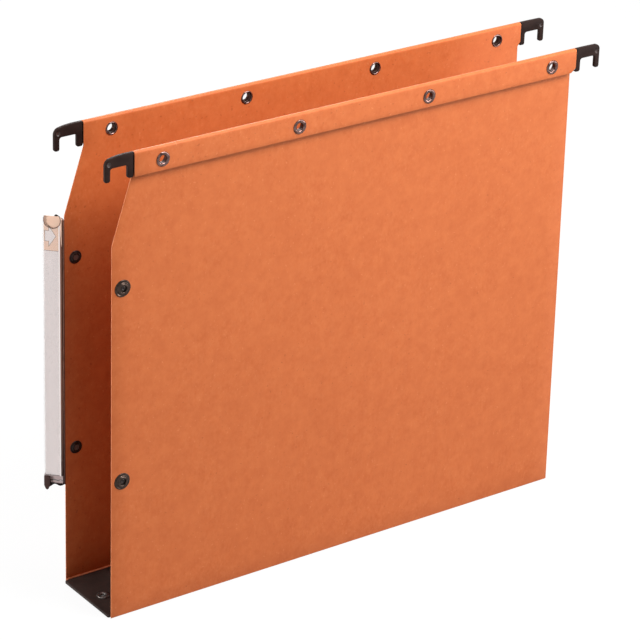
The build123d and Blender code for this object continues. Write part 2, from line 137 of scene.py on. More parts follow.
class HookSizes(bpy.types.PropertyGroup):
    """Sizes and colour of the hooks"""
    notch_width: length("Notch width", "Width of the gap that takes the cabinet's rail", 11.2)
    notch_depth: length("Notch depth", "Depth of the gap that takes the cabinet's rail", 7.9)
    outer_leg: length("Outer leg", "Width of the outer leg", 3.4)
    notch_round: length("Notch rounding", "Rounding of the notch's upper corners", 1.5)
    leg_round: length("Leg rounding", "Rounding of the legs' lower corners", 1.19)
    left_drop: length("Left arch drop", "How far a left hook's top drops towards its end", 1.9)
    right_drop: length("Right arch drop", "How far a right hook's top drops towards its end", 0.25)
    left_round: length("Left end rounding", "Rounding of a left hook's upper outer corner", 3.0)
    right_round: length("Right end rounding", "Rounding of a right hook's upper outer corner", 3.0)
    edge_round: length("Edge rounding", "Rounding of the moulded edges", 0.45)
    body_colour: colour("Hook colour", "Colour of the moulded hooks", (0.024, 0.0138, 0.0118))


class MetalSizes(bpy.types.PropertyGroup):
    """Sizes and colours of the metal fittings"""
    sides: IntProperty(name="Sides", description="Sides of each turned fitting", default=56, min=12)
    eyelet_count: IntProperty(name="Eyelets", description="Eyelets on each flap", default=4, min=2)
    eyelet_hole: length("Eyelet hole", "Radius of the card's hole for an eyelet", 2.95)
    post_hole: length("Post hole", "Radius of the card's hole for a press stud's post", 1.1)
    nickel_colour: colour("Eyelet colour", "Colour of the plated eyelets", (0.200, 0.122, 0.110))
    # The barrel colour is the dull inside of the eyelets, darkened further as painted shade in the hole
    shaded_barrel_colour: colour("Barrel colour", "Colour of the dull inside of the eyelets", (0.07, 0.030, 0.022))
    bronze_colour: colour("Press stud colour", "Colour of the darkened press studs", (0.062, 0.040, 0.031))
    cap_colour: colour("Cap colour", "Colour of the blackened press stud caps", (0.028, 0.018, 0.016))
    # The caps' lighter middle is a painted sheen
    cap_sheen_colour: colour("Cap middle colour", "Colour of the worn middle of the caps", (0.13, 0.108, 0.104))
    zinc_colour: colour("Rail colour", "Colour of the rails and springs", (0.50, 0.50, 0.49))


class BaseSizes(bpy.types.PropertyGroup):
    """Sizes and colours of the base"""
    corner_round: length("Corner rounding", "Rounding of the liner's corners", 0.8)
    edge_round: length("Edge rounding", "Rounding of the liner's upper edges", 0.3)
    liner_colour: colour("Liner colour", "Colour of the base liner", (0.032, 0.021, 0.018))
    rivet_colour: colour("Rivet colour", "Colour of the lacquered rivets", (0.135, 0.115, 0.108))


class LabelSizes(bpy.types.PropertyGroup):
    """Sizes and colours of the label holder"""
    slant: FloatProperty(
        name="Slant", description="Turn of the label's face about the upright", default=math.radians(135),
        subtype="ANGLE")
    root_x: length("Root across", "Place of the blade's root along the folder", -161.1)
    root_y: length("Root behind", "Place of the blade's root behind the folder's middle", 25.35)
    blade_width: length("Blade width", "Width of the slanted blade", 12.4)
    foot_bottom: length("Foot bottom", "Height of the underside of the holder's foot", 63.5)
    shelf_top: length("Shelf top", "Height of the shelf under the label", 70.5)
    blade_top: length("Blade top", "Height of the blade's top", 234.1)
    channel_top: length("Channel top", "Height of the top of the channel on the card", 233.2)
    label_bottom: length("Label bottom", "Height of the label's lower end", 70.8)
    label_top: length("Label top", "Height of the label's upper end", 234.8)
    carrier_colour: colour("Carrier colour", "Colour of the moulded carrier", (0.150, 0.068, 0.047))
    ear_colour: colour("Ear colour", "Colour of the carrier's lower end and ear", (0.060, 0.034, 0.031))
    lens_colour: colour("Lens colour", "Tint of the clear lens", (0.88, 0.86, 0.85))
    foot_colour: colour("Film foot colour", "Colour of the lens's cloudy foot", (0.55, 0.43, 0.42))
    paper_colour: colour("Label colour", "Colour of the label's paper", (0.86, 0.79, 0.78))
    header_colour: colour("Header colour", "Colour of the label's printed header", (0.90, 0.62, 0.47))
    # The label's line colour also paints the shade on the lens's thumb-cut rim
    print_and_shade_colour: colour("Line colour", "Colour of the label's printed lines", (0.16, 0.10, 0.08))


class StageSizes(bpy.types.PropertyGroup):
    """Camera and light"""
    lens: FloatProperty(
        name="Lens", description="Focal length of the camera", default=180.957, subtype="DISTANCE_CAMERA")
    key_power: power("Key light", "Power of the main soft light at the front right", 12.5)
    right_power: power("Right light", "Power of the low light on the right", 6)
    top_power: power("Top light", "Power of the light above the front", 6)
    overhead_power: power("Overhead light", "Power of the light straight above", 5.6)
    back_power: power("Back light", "Power of the light behind", 9)
    side_power: power("Side light", "Power of the light on the left", 13.4)
    ambient: FloatProperty(
        name="Ambient", description="Strength of the even light all round", default=0.104, min=0)


# Editing helpers


def select_none():
    """Leaves nothing selected, so that an operator only meets the piece in hand."""
    bpy.ops.object.select_all(action="DESELECT")


def settle(name, stretch=(1, 1, 1)):
    """Names the new primitive and puts its place and its stretch in its mesh."""
    piece = bpy.context.active_object
    piece.name = name
    piece.data.name = name
    piece.scale = stretch
    bpy.ops.object.transform_apply(location=True, rotation=True, scale=True)
    return piece


def add_box(name, low, high):
    """A block between two corners."""
    low = Vector(low)
    high = Vector(high)
    select_none()
    bpy.ops.mesh.primitive_cube_add(size=1, location=(low + high) / 2)
    return settle(name, high - low)


def add_rod(name, centre, radius, depth, turn=(0, 0, 0), sides=48):
    """A round rod."""
    select_none()
    bpy.ops.mesh.primitive_cylinder_add(
        vertices=sides, radius=radius, depth=depth, location=centre, rotation=turn)
    return settle(name)


def add_sheet(name, left, right, y, bottom, top):
    """An upright sheet with no thickness."""
    select_none()
    bpy.ops.mesh.primitive_plane_add(
        size=1, location=((left + right) / 2, y, (bottom + top) / 2), rotation=UPRIGHT)
    return settle(name, (right - left, top - bottom, 1))


def use(piece):
    """Makes the piece the only selected one and the active one."""
    select_none()
    piece.select_set(True)
    bpy.context.view_layer.objects.active = piece


def open_mesh(piece):
    """Starts editing the piece's mesh."""
    use(piece)
    bpy.ops.object.mode_set(mode="EDIT")


def close_mesh():
    """Ends editing."""
    bpy.ops.object.mode_set(mode="OBJECT")


def middle(part):
    """Middle of a vertex, an edge or a face."""
    if isinstance(part, bmesh.types.BMVert):
        return part.co
    return sum((corner.co for corner in part.verts), Vector()) / len(part.verts)


def pick(piece, kind, test):
    """Selects the vertices, edges or faces that pass a test on the part and its middle."""
    bpy.ops.mesh.select_mode(type=kind)
    bpy.ops.mesh.select_all(action="DESELECT")
    shape = bmesh.from_edit_mesh(piece.data)
    parts = {"VERT": shape.verts, "EDGE": shape.edges, "FACE": shape.faces}[kind]
    found = 0
    for part in parts:
        if test(part, middle(part)):
            part.select_set(True)
            found += 1
    if not found:
        raise RuntimeError(f"nothing to select on {piece.name}")
    shape.select_flush_mode()
    bmesh.update_edit_mesh(piece.data)


def near(a, b, reach=1e-5):
    """True where two numbers are the same place."""
    return abs(a - b) < reach


def pick_level(piece, z):
    """Selects the edges that lie at a height."""
    pick(piece, "EDGE", lambda part, at: all(near(v.co.z, z) for v in part.verts))


def slice_mesh(point, normal, clear=False, fill=False):
    """Cuts the whole mesh with a plane, and clears the side that the normal points to."""
    bpy.ops.mesh.select_all(action="SELECT")
    bpy.ops.mesh.bisect(plane_co=point, plane_no=normal, clear_outer=clear, use_fill=fill, threshold=1e-7)


def extend_edges(offset):
    """Extrudes the selected edges."""
    bpy.ops.mesh.extrude_edges_move(TRANSFORM_OT_translate={"value": offset})


def extend_faces(offset):
    """Extrudes the selected faces as one region."""
    bpy.ops.mesh.extrude_region_move(TRANSFORM_OT_translate={"value": offset})


def shift(offset):
    """Moves what is selected."""
    bpy.ops.transform.translate(value=offset)


def round_edges(size, steps):
    """Rounds the selected edges."""
    bpy.ops.mesh.bevel(offset=size, offset_type="OFFSET", segments=steps, affect="EDGES", clamp_overlap=True)


def mend(piece):
    """Merges doubles and points the faces outwards."""
    open_mesh(piece)
    bpy.ops.mesh.select_all(action="SELECT")
    bpy.ops.mesh.remove_doubles(threshold=1e-7)
    bpy.ops.mesh.normals_make_consistent(inside=False)
    close_mesh()


def finish_with(piece, kind, **settings):
    """Adds a modifier, sets it and applies it."""
    use(piece)
    step = piece.modifiers.new(kind.title(), kind)
    for key, value in settings.items():
        setattr(step, key, value)
    bpy.ops.object.modifier_apply(modifier=step.name)


def soften(piece, size, steps, angle):
    """Rounds every edge of a piece that is sharper than an angle in degrees."""
    finish_with(
        piece, "BEVEL", width=size, segments=steps, limit_method="ANGLE", angle_limit=math.radians(angle))


def carve(piece, tool, operation="DIFFERENCE", solver="EXACT"):
    """Cuts the piece with a tool, or joins the tool to it, and deletes the tool."""
    finish_with(piece, "BOOLEAN", operation=operation, object=tool, solver=solver)
    bpy.data.objects.remove(tool, do_unlink=True)


def smooth(piece, angle=32):
    """Smooth shading up to an angle in degrees."""
    use(piece)
    bpy.ops.object.shade_smooth_by_angle(angle=math.radians(angle))


def place(piece, turn=(0, 0, 0), at=(0, 0, 0)):
    """Turns and moves a piece, with the result in its mesh."""
    use(piece)
    piece.rotation_euler = turn
    piece.location = at
    bpy.ops.object.transform_apply(location=True, rotation=True, scale=True)


def copy_of(piece, name):
    """A copy with its own mesh."""
    use(piece)
    bpy.ops.object.duplicate(linked=False)
    twin = bpy.context.active_object
    twin.name = name
    twin.data.name = name
    return twin


def mirrored(piece, name):
    """The piece's mirror image on the other side of the folder's middle plane."""
    twin = copy_of(piece, name)
    twin.scale = (1, -1, 1)
    bpy.ops.object.transform_apply(location=True, rotation=True, scale=True)
    mend(twin)
    return twin


def join(name, pieces):
    """Joins separate pieces in one object."""
    select_none()
    for piece in pieces:
        piece.select_set(True)
    bpy.context.view_layer.objects.active = pieces[0]
    bpy.ops.object.join()
    pieces[0].name = name
    pieces[0].data.name = name
    return pieces[0]


def repeat(name, piece, steps):
    """Copies of a piece at steps away from it, joined with it in one object."""
    row = [piece]
    for step in steps:
        twin = copy_of(piece, "copy")
        place(twin, at=step)
        row.append(twin)
    return join(name, row)


def turned(name, profile, sides):
    """A turned piece about Z, drawn out ring by ring along radii and heights in millimetres."""
    rings = [(radius * MM, height * MM) for radius, height in profile]
    starts_on_axis = rings[0][0] == 0
    ends_on_axis = rings[-1][0] == 0
    first = rings[1] if starts_on_axis else rings[0]
    fill = "TRIFAN" if starts_on_axis else "NOTHING"
    select_none()
    bpy.ops.mesh.primitive_circle_add(
        vertices=sides, radius=first[0], fill_type=fill, location=(0, 0, first[1]))
    piece = settle(name)
    open_mesh(piece)
    if starts_on_axis:
        pick(piece, "VERT", lambda part, at: at.xy.length < first[0] / 2)
        shift((0, 0, rings[0][1] - first[1]))
    pick(piece, "EDGE", lambda part, at: all(near(v.co.xy.length, first[0], 1e-7) for v in part.verts))
    rest = rings[2:] if starts_on_axis else rings[1:]
    if ends_on_axis:
        rest = rest[:-1]
    elif not starts_on_axis:
        rest = rest + [rings[0]]
    last = first
    for ring in rest:
        extend_edges((0, 0, ring[1] - last[1]))
        grow = ring[0] / last[0]
        bpy.ops.transform.resize(value=(grow, grow, 1), center_override=(0, 0, ring[1]))
        last = ring
    if ends_on_axis:
        extend_edges((0, 0, rings[-1][1] - last[1]))
        bpy.ops.mesh.merge(type="CENTER")
    close_mesh()
    mend(piece)
    return piece


# Shader helpers


def new_material(name):
    """A material with a Principled shader, its node tree and that shader."""
    made = bpy.data.materials.new(name)
    made.use_nodes = True
    tree = made.node_tree
    tree.nodes.clear()
    shader = tree.nodes.new("ShaderNodeBsdfPrincipled")
    shader.location = (600, 0)
    output = tree.nodes.new("ShaderNodeOutputMaterial")
    output.location = (900, 0)
    tree.links.new(shader.outputs["BSDF"], output.inputs["Surface"])
    return made, tree, shader


def feed(tree, socket, value):
    """Sets a socket to a constant, or links another socket to it."""
    if isinstance(value, bpy.types.NodeSocket):
        tree.links.new(value, socket)
    else:
        socket.default_value = value


def math_node(tree, operation, first, second=0.0, third=None):
    """Result of a Math node."""
    node = tree.nodes.new("ShaderNodeMath")
    node.operation = operation
    feed(tree, node.inputs[0], first)
    feed(tree, node.inputs[1], second)
    if third is not None:
        feed(tree, node.inputs[2], third)
    return node.outputs[0]


def times(tree, first, second):
    """Product of two values."""
    return math_node(tree, "MULTIPLY", first, second)


def plus(tree, first, second):
    """Sum of two values."""
    return math_node(tree, "ADD", first, second)


def minus(tree, first, second):
    """Difference of two values."""
    return math_node(tree, "SUBTRACT", first, second)


def larger(tree, first, second):
    """The larger of two values."""
    return math_node(tree, "MAXIMUM", first, second)


def away(tree, value, centre):
    """Distance of a value from a centre."""
    return math_node(tree, "ABSOLUTE", minus(tree, value, centre))


def span(tree, value, low, high, to_low=0.0, to_high=1.0):
    """A value carried from one range to another, held at its ends."""
    node = tree.nodes.new("ShaderNodeMapRange")
    feed(tree, node.inputs["Value"], value)
    node.inputs["From Min"].default_value = low
    node.inputs["From Max"].default_value = high
    node.inputs["To Min"].default_value = to_low
    node.inputs["To Max"].default_value = to_high
    return node.outputs["Result"]


def blend_colour(tree, share, first, second):
    """Mix of two colours."""
    node = tree.nodes.new("ShaderNodeMix")
    node.data_type = "RGBA"
    feed(tree, node.inputs[0], share)
    for socket, value in ((node.inputs[6], first), (node.inputs[7], second)):
        feed(tree, socket, value if isinstance(value, bpy.types.NodeSocket) else (*value, 1))
    return node.outputs[2]


def noise(tree, vector, scale, detail=2.0, rough=0.5, stretch=None):
    """Value of a Noise texture."""
    if stretch:
        mapping = tree.nodes.new("ShaderNodeMapping")
        tree.links.new(vector, mapping.inputs["Vector"])
        mapping.inputs["Scale"].default_value = stretch
        vector = mapping.outputs["Vector"]
    node = tree.nodes.new("ShaderNodeTexNoise")
    tree.links.new(vector, node.inputs["Vector"])
    feed(tree, node.inputs["Scale"], scale)
    node.inputs["Detail"].default_value = detail
    node.inputs["Roughness"].default_value = rough
    return node.outputs["Fac"]


def object_place(tree):
    """Object coordinates."""
    return tree.nodes.new("ShaderNodeTexCoord").outputs["Object"]


def bump(tree, shader, height, strength, distance):
    """Bump on the shader's normal."""
    node = tree.nodes.new("ShaderNodeBump")
    node.inputs["Strength"].default_value = strength
    node.inputs["Distance"].default_value = distance
    tree.links.new(height, node.inputs["Height"])
    tree.links.new(node.outputs["Normal"], shader.inputs["Normal"])


def surface(tree, shader, tone, wear, low, high):
    """Links the colour, and a roughness that follows a wear value from low to high."""
    tree.links.new(tone, shader.inputs["Base Color"])
    tree.links.new(span(tree, wear, 0.3, 0.7, low, high), shader.inputs["Roughness"])


def shade(value, factor):
    """A colour made lighter or darker."""
    return tuple(min(1.0, part * factor) for part in value)


def new_group(name, inputs, outputs):
    """A shader node group with named value sockets and a place socket."""
    group = bpy.data.node_groups.new(name, "ShaderNodeTree")
    group.interface.new_socket("Place", in_out="INPUT", socket_type="NodeSocketVector")
    for label, default in inputs:
        socket = group.interface.new_socket(label, in_out="INPUT", socket_type="NodeSocketFloat")
        socket.default_value = default
    for label in outputs:
        group.interface.new_socket(label, in_out="OUTPUT", socket_type="NodeSocketFloat")
    entry = group.nodes.new("NodeGroupInput")
    leave = group.nodes.new("NodeGroupOutput")
    return group, entry, leave


def put_group(tree, name, **values):
    """Places a group in a material, on Object coordinates."""
    node = tree.nodes.new("ShaderNodeGroup")
    node.node_tree = bpy.data.node_groups[name]
    tree.links.new(object_place(tree), node.inputs["Place"])
    for label, value in values.items():
        node.inputs[label].default_value = value
    return node.outputs


def put_out(group, leave, **values):
    """Links values to a group's outputs, named with _ for a space."""
    for label, value in values.items():
        group.links.new(value, leave.inputs[label.replace("_", " ")])


def make_groups():
    """The three effects that several materials share."""
    group, entry, leave = new_group(
        "Paper grain", [("Cloud", 16.0), ("Fibre", 1.0), ("Speck", 620.0)],
        ["Clouds", "Fibres", "Light Specks", "Dark Specks", "Relief"])
    at, cloud_scale, fibre_scale, speck_scale = list(entry.outputs)[:4]
    cloud = noise(group, at, cloud_scale, 4.0, 0.55)
    patch = noise(group, at, times(group, cloud_scale, 9.0), 3.0, 0.6)
    clouds = plus(group, times(group, cloud, 0.25), times(group, patch, 0.75))
    long_fibre = noise(group, at, fibre_scale, 2.0, 0.5, (400, 400, 270))
    short_fibre = noise(group, at, fibre_scale, 2.0, 0.5, (800, 800, 560))
    pressed = span(group, noise(group, at, times(group, cloud_scale, 3.0)), 0.35, 0.65, 0.3, 1.0)
    strands = minus(group, plus(group, long_fibre, short_fibre), 1.0)
    fibres = math_node(group, "MULTIPLY_ADD", strands, times(group, pressed, 0.5), 0.5)
    speck = noise(group, at, speck_scale, 1.0, 0.5)
    dust = noise(group, at, times(group, speck_scale, 0.83), 1.0, 0.5, (1, 1, 1.2))
    put_out(
        group, leave, Clouds=clouds, Fibres=fibres, Light_Specks=span(group, speck, 0.70, 0.79),
        Dark_Specks=span(group, dust, 0.295, 0.22), Relief=plus(group, fibres, times(group, speck, 0.5)))

    group, entry, leave = new_group(
        "Moulded skin", [("Grain", 2600.0), ("Flow", 90.0)], ["Grain", "Flow", "Rub"])
    at, grain_scale, flow_scale = list(entry.outputs)[:3]
    rub = noise(group, at, times(group, flow_scale, 4.0), 4.0, 0.65)
    put_out(
        group, leave, Grain=noise(group, at, grain_scale, 2.0, 0.5),
        Flow=noise(group, at, flow_scale, 3.0, 0.5, (1, 1, 2.2)), Rub=span(group, rub, 0.56, 0.74))

    group, entry, leave = new_group(
        "Worn plating", [("Tarnish", 420.0), ("Scratch", 1.0)], ["Tarnish", "Scratch"])
    at, tarnish_scale, scratch_scale = list(entry.outputs)[:3]
    put_out(
        group, leave, Tarnish=noise(group, at, tarnish_scale, 4.0, 0.6),
        Scratch=noise(group, at, scratch_scale, 2.0, 0.6, (300, 4200, 4200)))


def card_material(name, base, light, dark, rough):
    """Coloured kraft card: soft clouds, upright fibres and scattered specks."""
    made, tree, shader = new_material(name)
    grain = put_group(tree, "Paper grain")
    deep = tuple(part * share for part, share in zip(base, (0.93, 0.87, 0.80)))
    pale = tuple(part * share for part, share in zip(base, (1.05, 1.10, 1.17)))
    tone = blend_colour(tree, span(tree, grain["Clouds"], 0.34, 0.66), deep, pale)
    threads = span(tree, grain["Fibres"], 0.30, 0.70)
    for mask, share, paint in (
            (threads, 0.28, light), (grain["Light Specks"], 0.4, light), (grain["Dark Specks"], 0.4, dark)):
        tone = blend_colour(tree, times(tree, mask, share), tone, paint)
    surface(tree, shader, tone, grain["Fibres"], rough - 0.05, rough + 0.07)
    shader.inputs["Specular IOR Level"].default_value = 0.25
    bump(tree, shader, grain["Relief"], 0.35, 0.00005)
    return made


def plastic_material(name, base, rough, grain_scale, strength, gloss, holder=None):
    """Moulded plastic with a fine skin, flow clouds and rubbed spots; on a label holder, painted shade darkens
    it downwards to its ear, its foot is painted nearly black as shade under the shelf, and its top end is
    darkened.
    """
    made, tree, shader = new_material(name)
    skin = put_group(tree, "Moulded skin", Grain=grain_scale)
    tone = blend_colour(tree, span(tree, skin["Flow"], 0.3, 0.7), shade(base, 0.8), shade(base, 1.25))
    tone = blend_colour(tree, times(tree, skin["Rub"], 0.25), tone, shade(base, 2.2))
    if holder:
        across, up = holder_place(tree, holder)
        tone = blend_colour(tree, span(tree, up, *SHADE_FADE_TO_EAR), tone, holder.ear_colour)
        # Painted shade: the foot under the shelf goes nearly black; the top end is darkened too
        foot = times(tree, span(tree, up, 66.6, 65.8), span(tree, across, 9.4, 8.8))
        ends = larger(tree, foot, span(tree, up, 233.3, 233.9))
        tone = blend_colour(tree, times(tree, ends, 0.95), tone, shade(base, 0.05))
    surface(tree, shader, tone, skin["Flow"], rough - 0.05, rough + 0.08)
    shader.inputs["Specular IOR Level"].default_value = gloss
    bump(tree, shader, skin["Grain"], strength, 0.00004)
    return made


def metal_material(name, base, tarnish, rough, metallic=1.0):
    """Plated or darkened metal with fine scratches; its tarnish is a colour or a share of its own."""
    made, tree, shader = new_material(name)
    wear = put_group(tree, "Worn plating")
    dark = shade(base, tarnish) if isinstance(tarnish, float) else tarnish
    tone = blend_colour(tree, span(tree, wear["Tarnish"], 0.38, 0.68), base, dark)
    surface(tree, shader, tone, wear["Scratch"], rough - 0.06, rough + 0.1)
    shader.inputs["Metallic"].default_value = metallic
    bump(tree, shader, wear["Scratch"], 0.06, 0.00003)
    return made


def holder_place(tree, sizes):
    """Place on the label holder in millimetres: across its width from the root, and up."""
    turn = Matrix.Rotation(-sizes.slant, 3, "Z")
    root = turn @ Vector((sizes.root_x, sizes.root_y, 0))
    mapping = tree.nodes.new("ShaderNodeMapping")
    tree.links.new(object_place(tree), mapping.inputs["Vector"])
    mapping.inputs["Rotation"].default_value = (0, 0, -sizes.slant)
    mapping.inputs["Location"].default_value = -root
    split = tree.nodes.new("ShaderNodeSeparateXYZ")
    tree.links.new(mapping.outputs["Vector"], split.inputs[0])
    return [times(tree, split.outputs[axis], 1000.0) for axis in ("X", "Z")]


def label_material(sizes):
    """Label paper with a tinted header, a plain block arrow and a ruled line, set out in millimetres."""
    made, tree, shader = new_material("label print")
    across, up = holder_place(tree, sizes)
    rule_up = 213.5
    arrow_up = 222.5
    tip = 5.3
    head_end = 9.4
    head_slope = 1.56
    shaft_middle = 10.3
    shaft_half = 1.4
    shaft_rise = 3.2
    rise = away(tree, up, arrow_up)
    shaft_side = minus(tree, away(tree, across, shaft_middle), shaft_half)
    shaft = larger(tree, shaft_side, minus(tree, rise, shaft_rise))
    slope = times(tree, minus(tree, across, tip), head_slope)
    head_side = times(tree, minus(tree, rise, slope), 0.58)
    head = larger(tree, head_side, minus(tree, across, head_end))
    arrow = math_node(tree, "MINIMUM", shaft, head)
    rim = span(tree, math_node(tree, "ABSOLUTE", arrow), 0.22, 0.10)
    rule = span(tree, away(tree, up, rule_up), 0.24, 0.12)
    header = span(tree, up, rule_up - 0.05, rule_up + 0.05)
    inside = span(tree, arrow, 0.02, -0.02)
    grain = put_group(tree, "Paper grain", Cloud=60.0, Speck=1500.0)
    dull = shade(sizes.paper_colour, 0.97)
    bright = shade(sizes.paper_colour, 1.02)
    paper = blend_colour(tree, span(tree, grain["Clouds"], 0.35, 0.65), dull, bright)
    tint = minus(tree, header, times(tree, header, inside))
    tone = blend_colour(tree, tint, paper, sizes.header_colour)
    lines = larger(tree, times(tree, rim, header), rule)
    tone = blend_colour(tree, times(tree, lines, 0.75), tone, sizes.print_and_shade_colour)
    surface(tree, shader, tone, grain["Fibres"], 0.5, 0.62)
    shader.inputs["Specular IOR Level"].default_value = 0.1
    bump(tree, shader, grain["Relief"], 0.12, 0.00003)
    return made


def lens_material(sizes):
    """Clear film with faint streaks, a thumb cut with a painted shade rim, a cloudy foot, a cloudy upper fold,
    a painted highlight along the blade and a painted lit strip beside it.
    """
    made, tree, shader = new_material("clear lens")
    skin = put_group(tree, "Moulded skin", Grain=900.0, Flow=140.0)
    across, up = holder_place(tree, sizes)
    foot_top = 70.5
    clear_from = 70.9

    # Painted highlight along the blade, with a painted lit strip in the lightened carrier colour at its edge,
    # over the shaded gap beside the label
    above_foot = span(tree, up, foot_top, clear_from)
    edge = times(tree, span(tree, across, 2.95, 2.65), above_foot)
    painted_glint = times(tree, span(tree, across, 3.7, 3.5), above_foot)
    film = span(tree, skin["Rub"], 0.0, 1.0, 0.10, 0.16)
    for mask in (edge, painted_glint):
        film = larger(tree, film, times(tree, mask, 0.85))

    # Cloudy foot with a wavy line, and the cloudy fold beside the label's header
    wave = times(tree, math_node(tree, "SINE", times(tree, across, 1.6)), 0.25)
    line = away(tree, plus(tree, up, wave), 68.0)
    foot = times(tree, span(tree, up, clear_from, foot_top), span(tree, line, 0.2, 0.55))
    fold_edge = span(tree, up, 217.0, 233.0, 2.0, 3.0)
    fold = span(tree, minus(tree, across, fold_edge), 0.1, -0.1)
    fold = times(tree, fold, span(tree, up, 216.5, 218.5))
    cloudy = times(tree, larger(tree, foot, fold), 0.68)

    # Dark rim of the thumb cut: painted shade along the film's cut edge, in the print colour
    side = minus(tree, across, (LENS_START + sizes.blade_width / MM + LENS_PAST_BLADE) / 2)
    rise = minus(tree, up, sizes.label_top / MM - 2.3)
    reach = math_node(tree, "SQRT", plus(tree, times(tree, side, side), times(tree, rise, rise)))
    cut = span(tree, minus(tree, reach, THUMB_RADIUS), 0.55, 0.3)

    # Painted light over the shaded gap: the carrier colour made lighter and fading downwards as painted shade,
    # then a near-white painted highlight
    painted_lit_strip = blend_colour(tree, span(tree, up, *SHADE_FADE_TO_EAR), shade(sizes.carrier_colour, 1.6), sizes.ear_colour)
    tone = blend_colour(tree, painted_glint, sizes.lens_colour, (1.0, 0.93, 0.91))
    for mask, paint in (
            (edge, painted_lit_strip), (foot, sizes.foot_colour), (fold, sizes.header_colour), (cut, sizes.print_and_shade_colour)):
        tone = blend_colour(tree, mask, tone, paint)
    surface(tree, shader, tone, skin["Flow"], 0.06, 0.12)
    solid = larger(tree, times(tree, cut, 0.7), plus(tree, film, cloudy))
    tree.links.new(solid, shader.inputs["Alpha"])
    shader.inputs["IOR"].default_value = 1.49
    shader.inputs["Specular IOR Level"].default_value = 0.15
    return made


def clothe(piece, *materials):
    """Gives a piece its materials."""
    piece.data.materials.clear()
    for item in materials:
        piece.data.materials.append(item)


def seat(piece, body, slot, *nodes):
    """Fixes a finished piece to its body and hides the CAD nodes that it stands for; the record slot is not
    used.
    """
    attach(piece, body)
    if nodes:
        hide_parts(*nodes)


# Places shared by pieces


def eyelet_centres():
    """Places of the eyelets along the flap, and their height."""
    count = bpy.context.scene.folder_metal.eyelet_count
    rim = (EYELETS_HIGH.z - EYELETS_LOW.z) / 2
    first = EYELETS_LOW.x + rim
    pitch = (EYELETS_HIGH.x - EYELETS_LOW.x - 2 * rim) / (count - 1)
    return [first + index * pitch for index in range(count)], (EYELETS_LOW.z + EYELETS_HIGH.z) / 2


def stud_places():
    """Place of the press studs along the folder, and their two heights."""
    across = (SOCKETS_LOW.x + SOCKETS_HIGH.x) / 2
    rim = (SOCKETS_HIGH.x - SOCKETS_LOW.x) / 2
    return across, (SOCKETS_LOW.z + rim, SOCKETS_HIGH.z - rim)


# Operators


